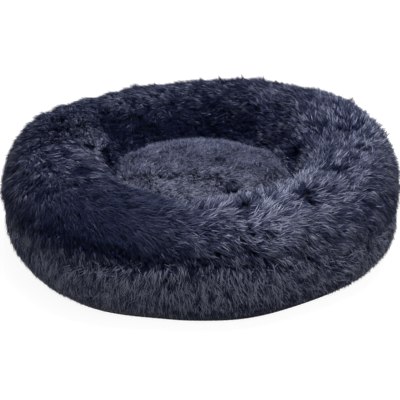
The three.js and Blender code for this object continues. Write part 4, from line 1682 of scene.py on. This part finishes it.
# %% Nap of the seat
# A parting is (azimuth, share of the seat's radius, radius).
seat_partings = ((304, 0.6, 19 * mm), (285, 0.9, 14 * mm))
seat_lean = np.array([0.3, -1.0, 0.0])
seat_drawing_in = np.array([2.5, 0.0, 0.0])  # for each metre from the middle
seat_sway = np.array([0.7, 0.2, 0.0])
seat_length = 17 * mm
seat_proud = 13 * mm
seat_spread = 3.0 * mm
seat_strand_width = 1.0 * mm
seat_pale = 0.67
front_from, front_to = -0.03, 0.09  # metres in front of the middle
gutter_from, gutter_to = 0.6, 0.95  # shares of the radius


def rooted_seat(azimuth, share):
    """Where the seat's pile is rooted."""
    return seat_surface(azimuth, share, root_depth)


def seat_nap(points, normal, round_, over, azimuth, share):
    """Towards the front, turned by slow waves and pushed away from the partings."""
    sway = waves(points, 0.07, 31)[:, None] * seat_sway
    heading = unit(seat_lean - points * seat_drawing_in + sway)
    heading, close = parted(points, heading, seat_partings, rooted_seat)
    front = smooth_step(-(points - ring_centre)[:, 1], front_from, front_to)
    gutter = front * smooth_step(share, gutter_from, gutter_to)
    pale = seat_pale + 0.13 * front + (0.04 + 0.06 * front) * waves(points, 0.02, 32)
    return {
        "heading": heading,
        "length": seat_length * (1 + 0.15 * waves(points, 0.04, 33) + 0.3 * front),
        "proud": seat_proud * (1 + 0.1 * front + 0.4 * gutter - 0.5 * close),
        "spread": np.full(len(points), seat_spread),
        "gather": 0.6 + 0.25 * front,
        "stray": 0.35,
        "loose": 0.3 - 0.12 * front[:, None].repeat(strands_per_tuft, 0),
        "droop": 0.0,
        "width": seat_strand_width,
        "mottle": 0.07 + 0.15 * front,
        "grain": 0.07 + 0.09 * front,
        "lowest": np.full(len(points), lowest_tip),
        # Partings get painted shade, and the gutter along the front gets painted light against the shade
        # that falls there.
        "pale": pale - 0.5 * close + 0.08 * gutter,
    }


seat_patch = Patch(rooted_seat, (0, 360), always(0.02), always(0.98), b_size=0.01, facing=-1)
grow("seat_pile", seat_patch, tufts_per_square_metre, seat_nap)

# %% [markdown]
# ## Floor and light
# The bed stands on a plain white floor in soft studio light, brightest from above and a little
# behind, so the inside of the back lies in shade. The camera sees the floor and the world as white.
# The floor has a hole where the bed hides it, and it can be seen through from below, so that views
# of the underside are lit too.

# %% Floor's finish
floor_grey = 0.25
floor_glow = 0.9


def floor_finish():
    """White to the camera and in reflections, with the bed's faint shadow in it, and clear from
    below. To other light it is a dull grey, so that it doesn't light the bed from under."""
    material = bpy.data.materials.new("studio_floor")
    material.use_nodes = True
    tree = material.node_tree
    tree.nodes.clear()

    def add(kind, **values):
        """A node of that kind, with values on its inputs."""
        node = tree.nodes.new("ShaderNode" + kind)
        for socket, value in values.items():
            node.inputs[socket].default_value = value
        return node

    def mixed(factor, one, other):
        """One finish where the factor is 0, and the other where it is 1."""
        node = add("MixShader")
        tree.links.new(factor, node.inputs[0])
        tree.links.new(one.outputs[0], node.inputs[1])
        tree.links.new(other.outputs[0], node.inputs[2])
        return node

    path = add("LightPath")
    paper = add("BsdfDiffuse", Color=(*grey(floor_grey), 1))
    glow = add("Emission", Strength=floor_glow)
    lit = add("AddShader")
    tree.links.new(paper.outputs[0], lit.inputs[0])
    tree.links.new(glow.outputs[0], lit.inputs[1])
    plain = mixed(path.outputs["Is Camera Ray"], paper, lit)
    shiny = mixed(path.outputs["Is Glossy Ray"], plain, glow)
    clear = mixed(add("NewGeometry").outputs["Backfacing"], shiny, add("BsdfTransparent"))
    tree.links.new(clear.outputs[0], add("OutputMaterial").inputs["Surface"])
    return material


# %% Floor
floor_reach = 30.0
floor_step_degrees = 3.0
hole_share = 0.93
floor_drop = 0.7 * mm


def studio_floor():
    """A wide floor just under the bed, with a hole inside the bed's foot."""
    azimuths = np.arange(0, 360, floor_step_degrees)
    foot = ring_surface(azimuths, foot_lift + 0 * azimuths)
    rim = ring_centre + hole_share * (foot - ring_centre)
    wide = place(azimuths, floor_reach + 0 * azimuths, 0 * azimuths)
    points = np.concatenate([rim, wide])
    points[:, 2] = -floor_drop
    inner = np.arange(len(azimuths))
    outer = inner + len(azimuths)
    faces = strip_faces(np.append(inner, 0), np.append(outer, len(azimuths)))[:, ::-1]
    floor = new_piece("studio_floor", points, faces, floor_finish(), smooth=False)
    floor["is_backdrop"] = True
    print(f"floor {2 * floor_reach:.0f} m wide, {floor_drop / mm:.1f} mm below the bed")


studio_floor()

# %% World
world_level = 0.34


def white_world(level):
    """Lights the bed at a plain level, and is white to the camera and in reflections."""
    world = bpy.data.worlds.new("studio")
    bpy.context.scene.world = world
    world.use_nodes = True
    tree = world.node_tree
    path = tree.nodes.new("ShaderNodeLightPath")
    shine = tree.nodes.new("ShaderNodeMath")
    shine.operation = "MAXIMUM"
    most = tree.nodes.new("ShaderNodeMath")
    most.operation = "MAXIMUM"
    strength = tree.nodes.new("ShaderNodeMapRange")
    strength.inputs["To Min"].default_value = level
    strength.inputs["To Max"].default_value = 1.0
    background = tree.nodes["Background"]
    background.inputs["Color"].default_value = (1, 1, 1, 1)
    tree.links.new(path.outputs["Is Camera Ray"], most.inputs[0])
    tree.links.new(path.outputs["Is Transmission Ray"], most.inputs[1])
    tree.links.new(most.outputs[0], shine.inputs[0])
    tree.links.new(path.outputs["Is Glossy Ray"], shine.inputs[1])
    tree.links.new(shine.outputs[0], strength.inputs["Value"])
    tree.links.new(strength.outputs["Result"], background.inputs["Strength"])


white_world(world_level)
print("world lights the bed at", world_level)

# %% Lamps
lamps_aim = (0, 0, 0.1)


def softbox(name, size, power, spot):
    """A square area lamp at a spot, pointed at the bed."""
    lamp = bpy.data.lights.new(name, "AREA")
    lamp.size = size
    lamp.energy = power
    holder = bpy.data.objects.new(name, lamp)
    holder.location = spot
    holder.rotation_euler = (Vector(lamps_aim) - Vector(spot)).to_track_quat("-Z", "Y").to_euler()
    bpy.context.scene.collection.objects.link(holder)
    print(f"{name}: {size} m wide, {power} W")


softbox("top_softbox", size=0.9, power=31, spot=(0.3, -0.1, 1.8))
softbox("front_softbox", size=1.6, power=14, spot=(0.8, -1.8, 1.2))

# %% [markdown]
# ## Finish
# The view transform is plain, so colours come out as written, and the size of the dressed bed is
# printed.

# %% Finish
bpy.context.scene.view_settings.view_transform = "Standard"
low, high = (list(corner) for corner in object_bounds())
print("dressed bed:", np.round(np.subtract(high, low), 3), "m")
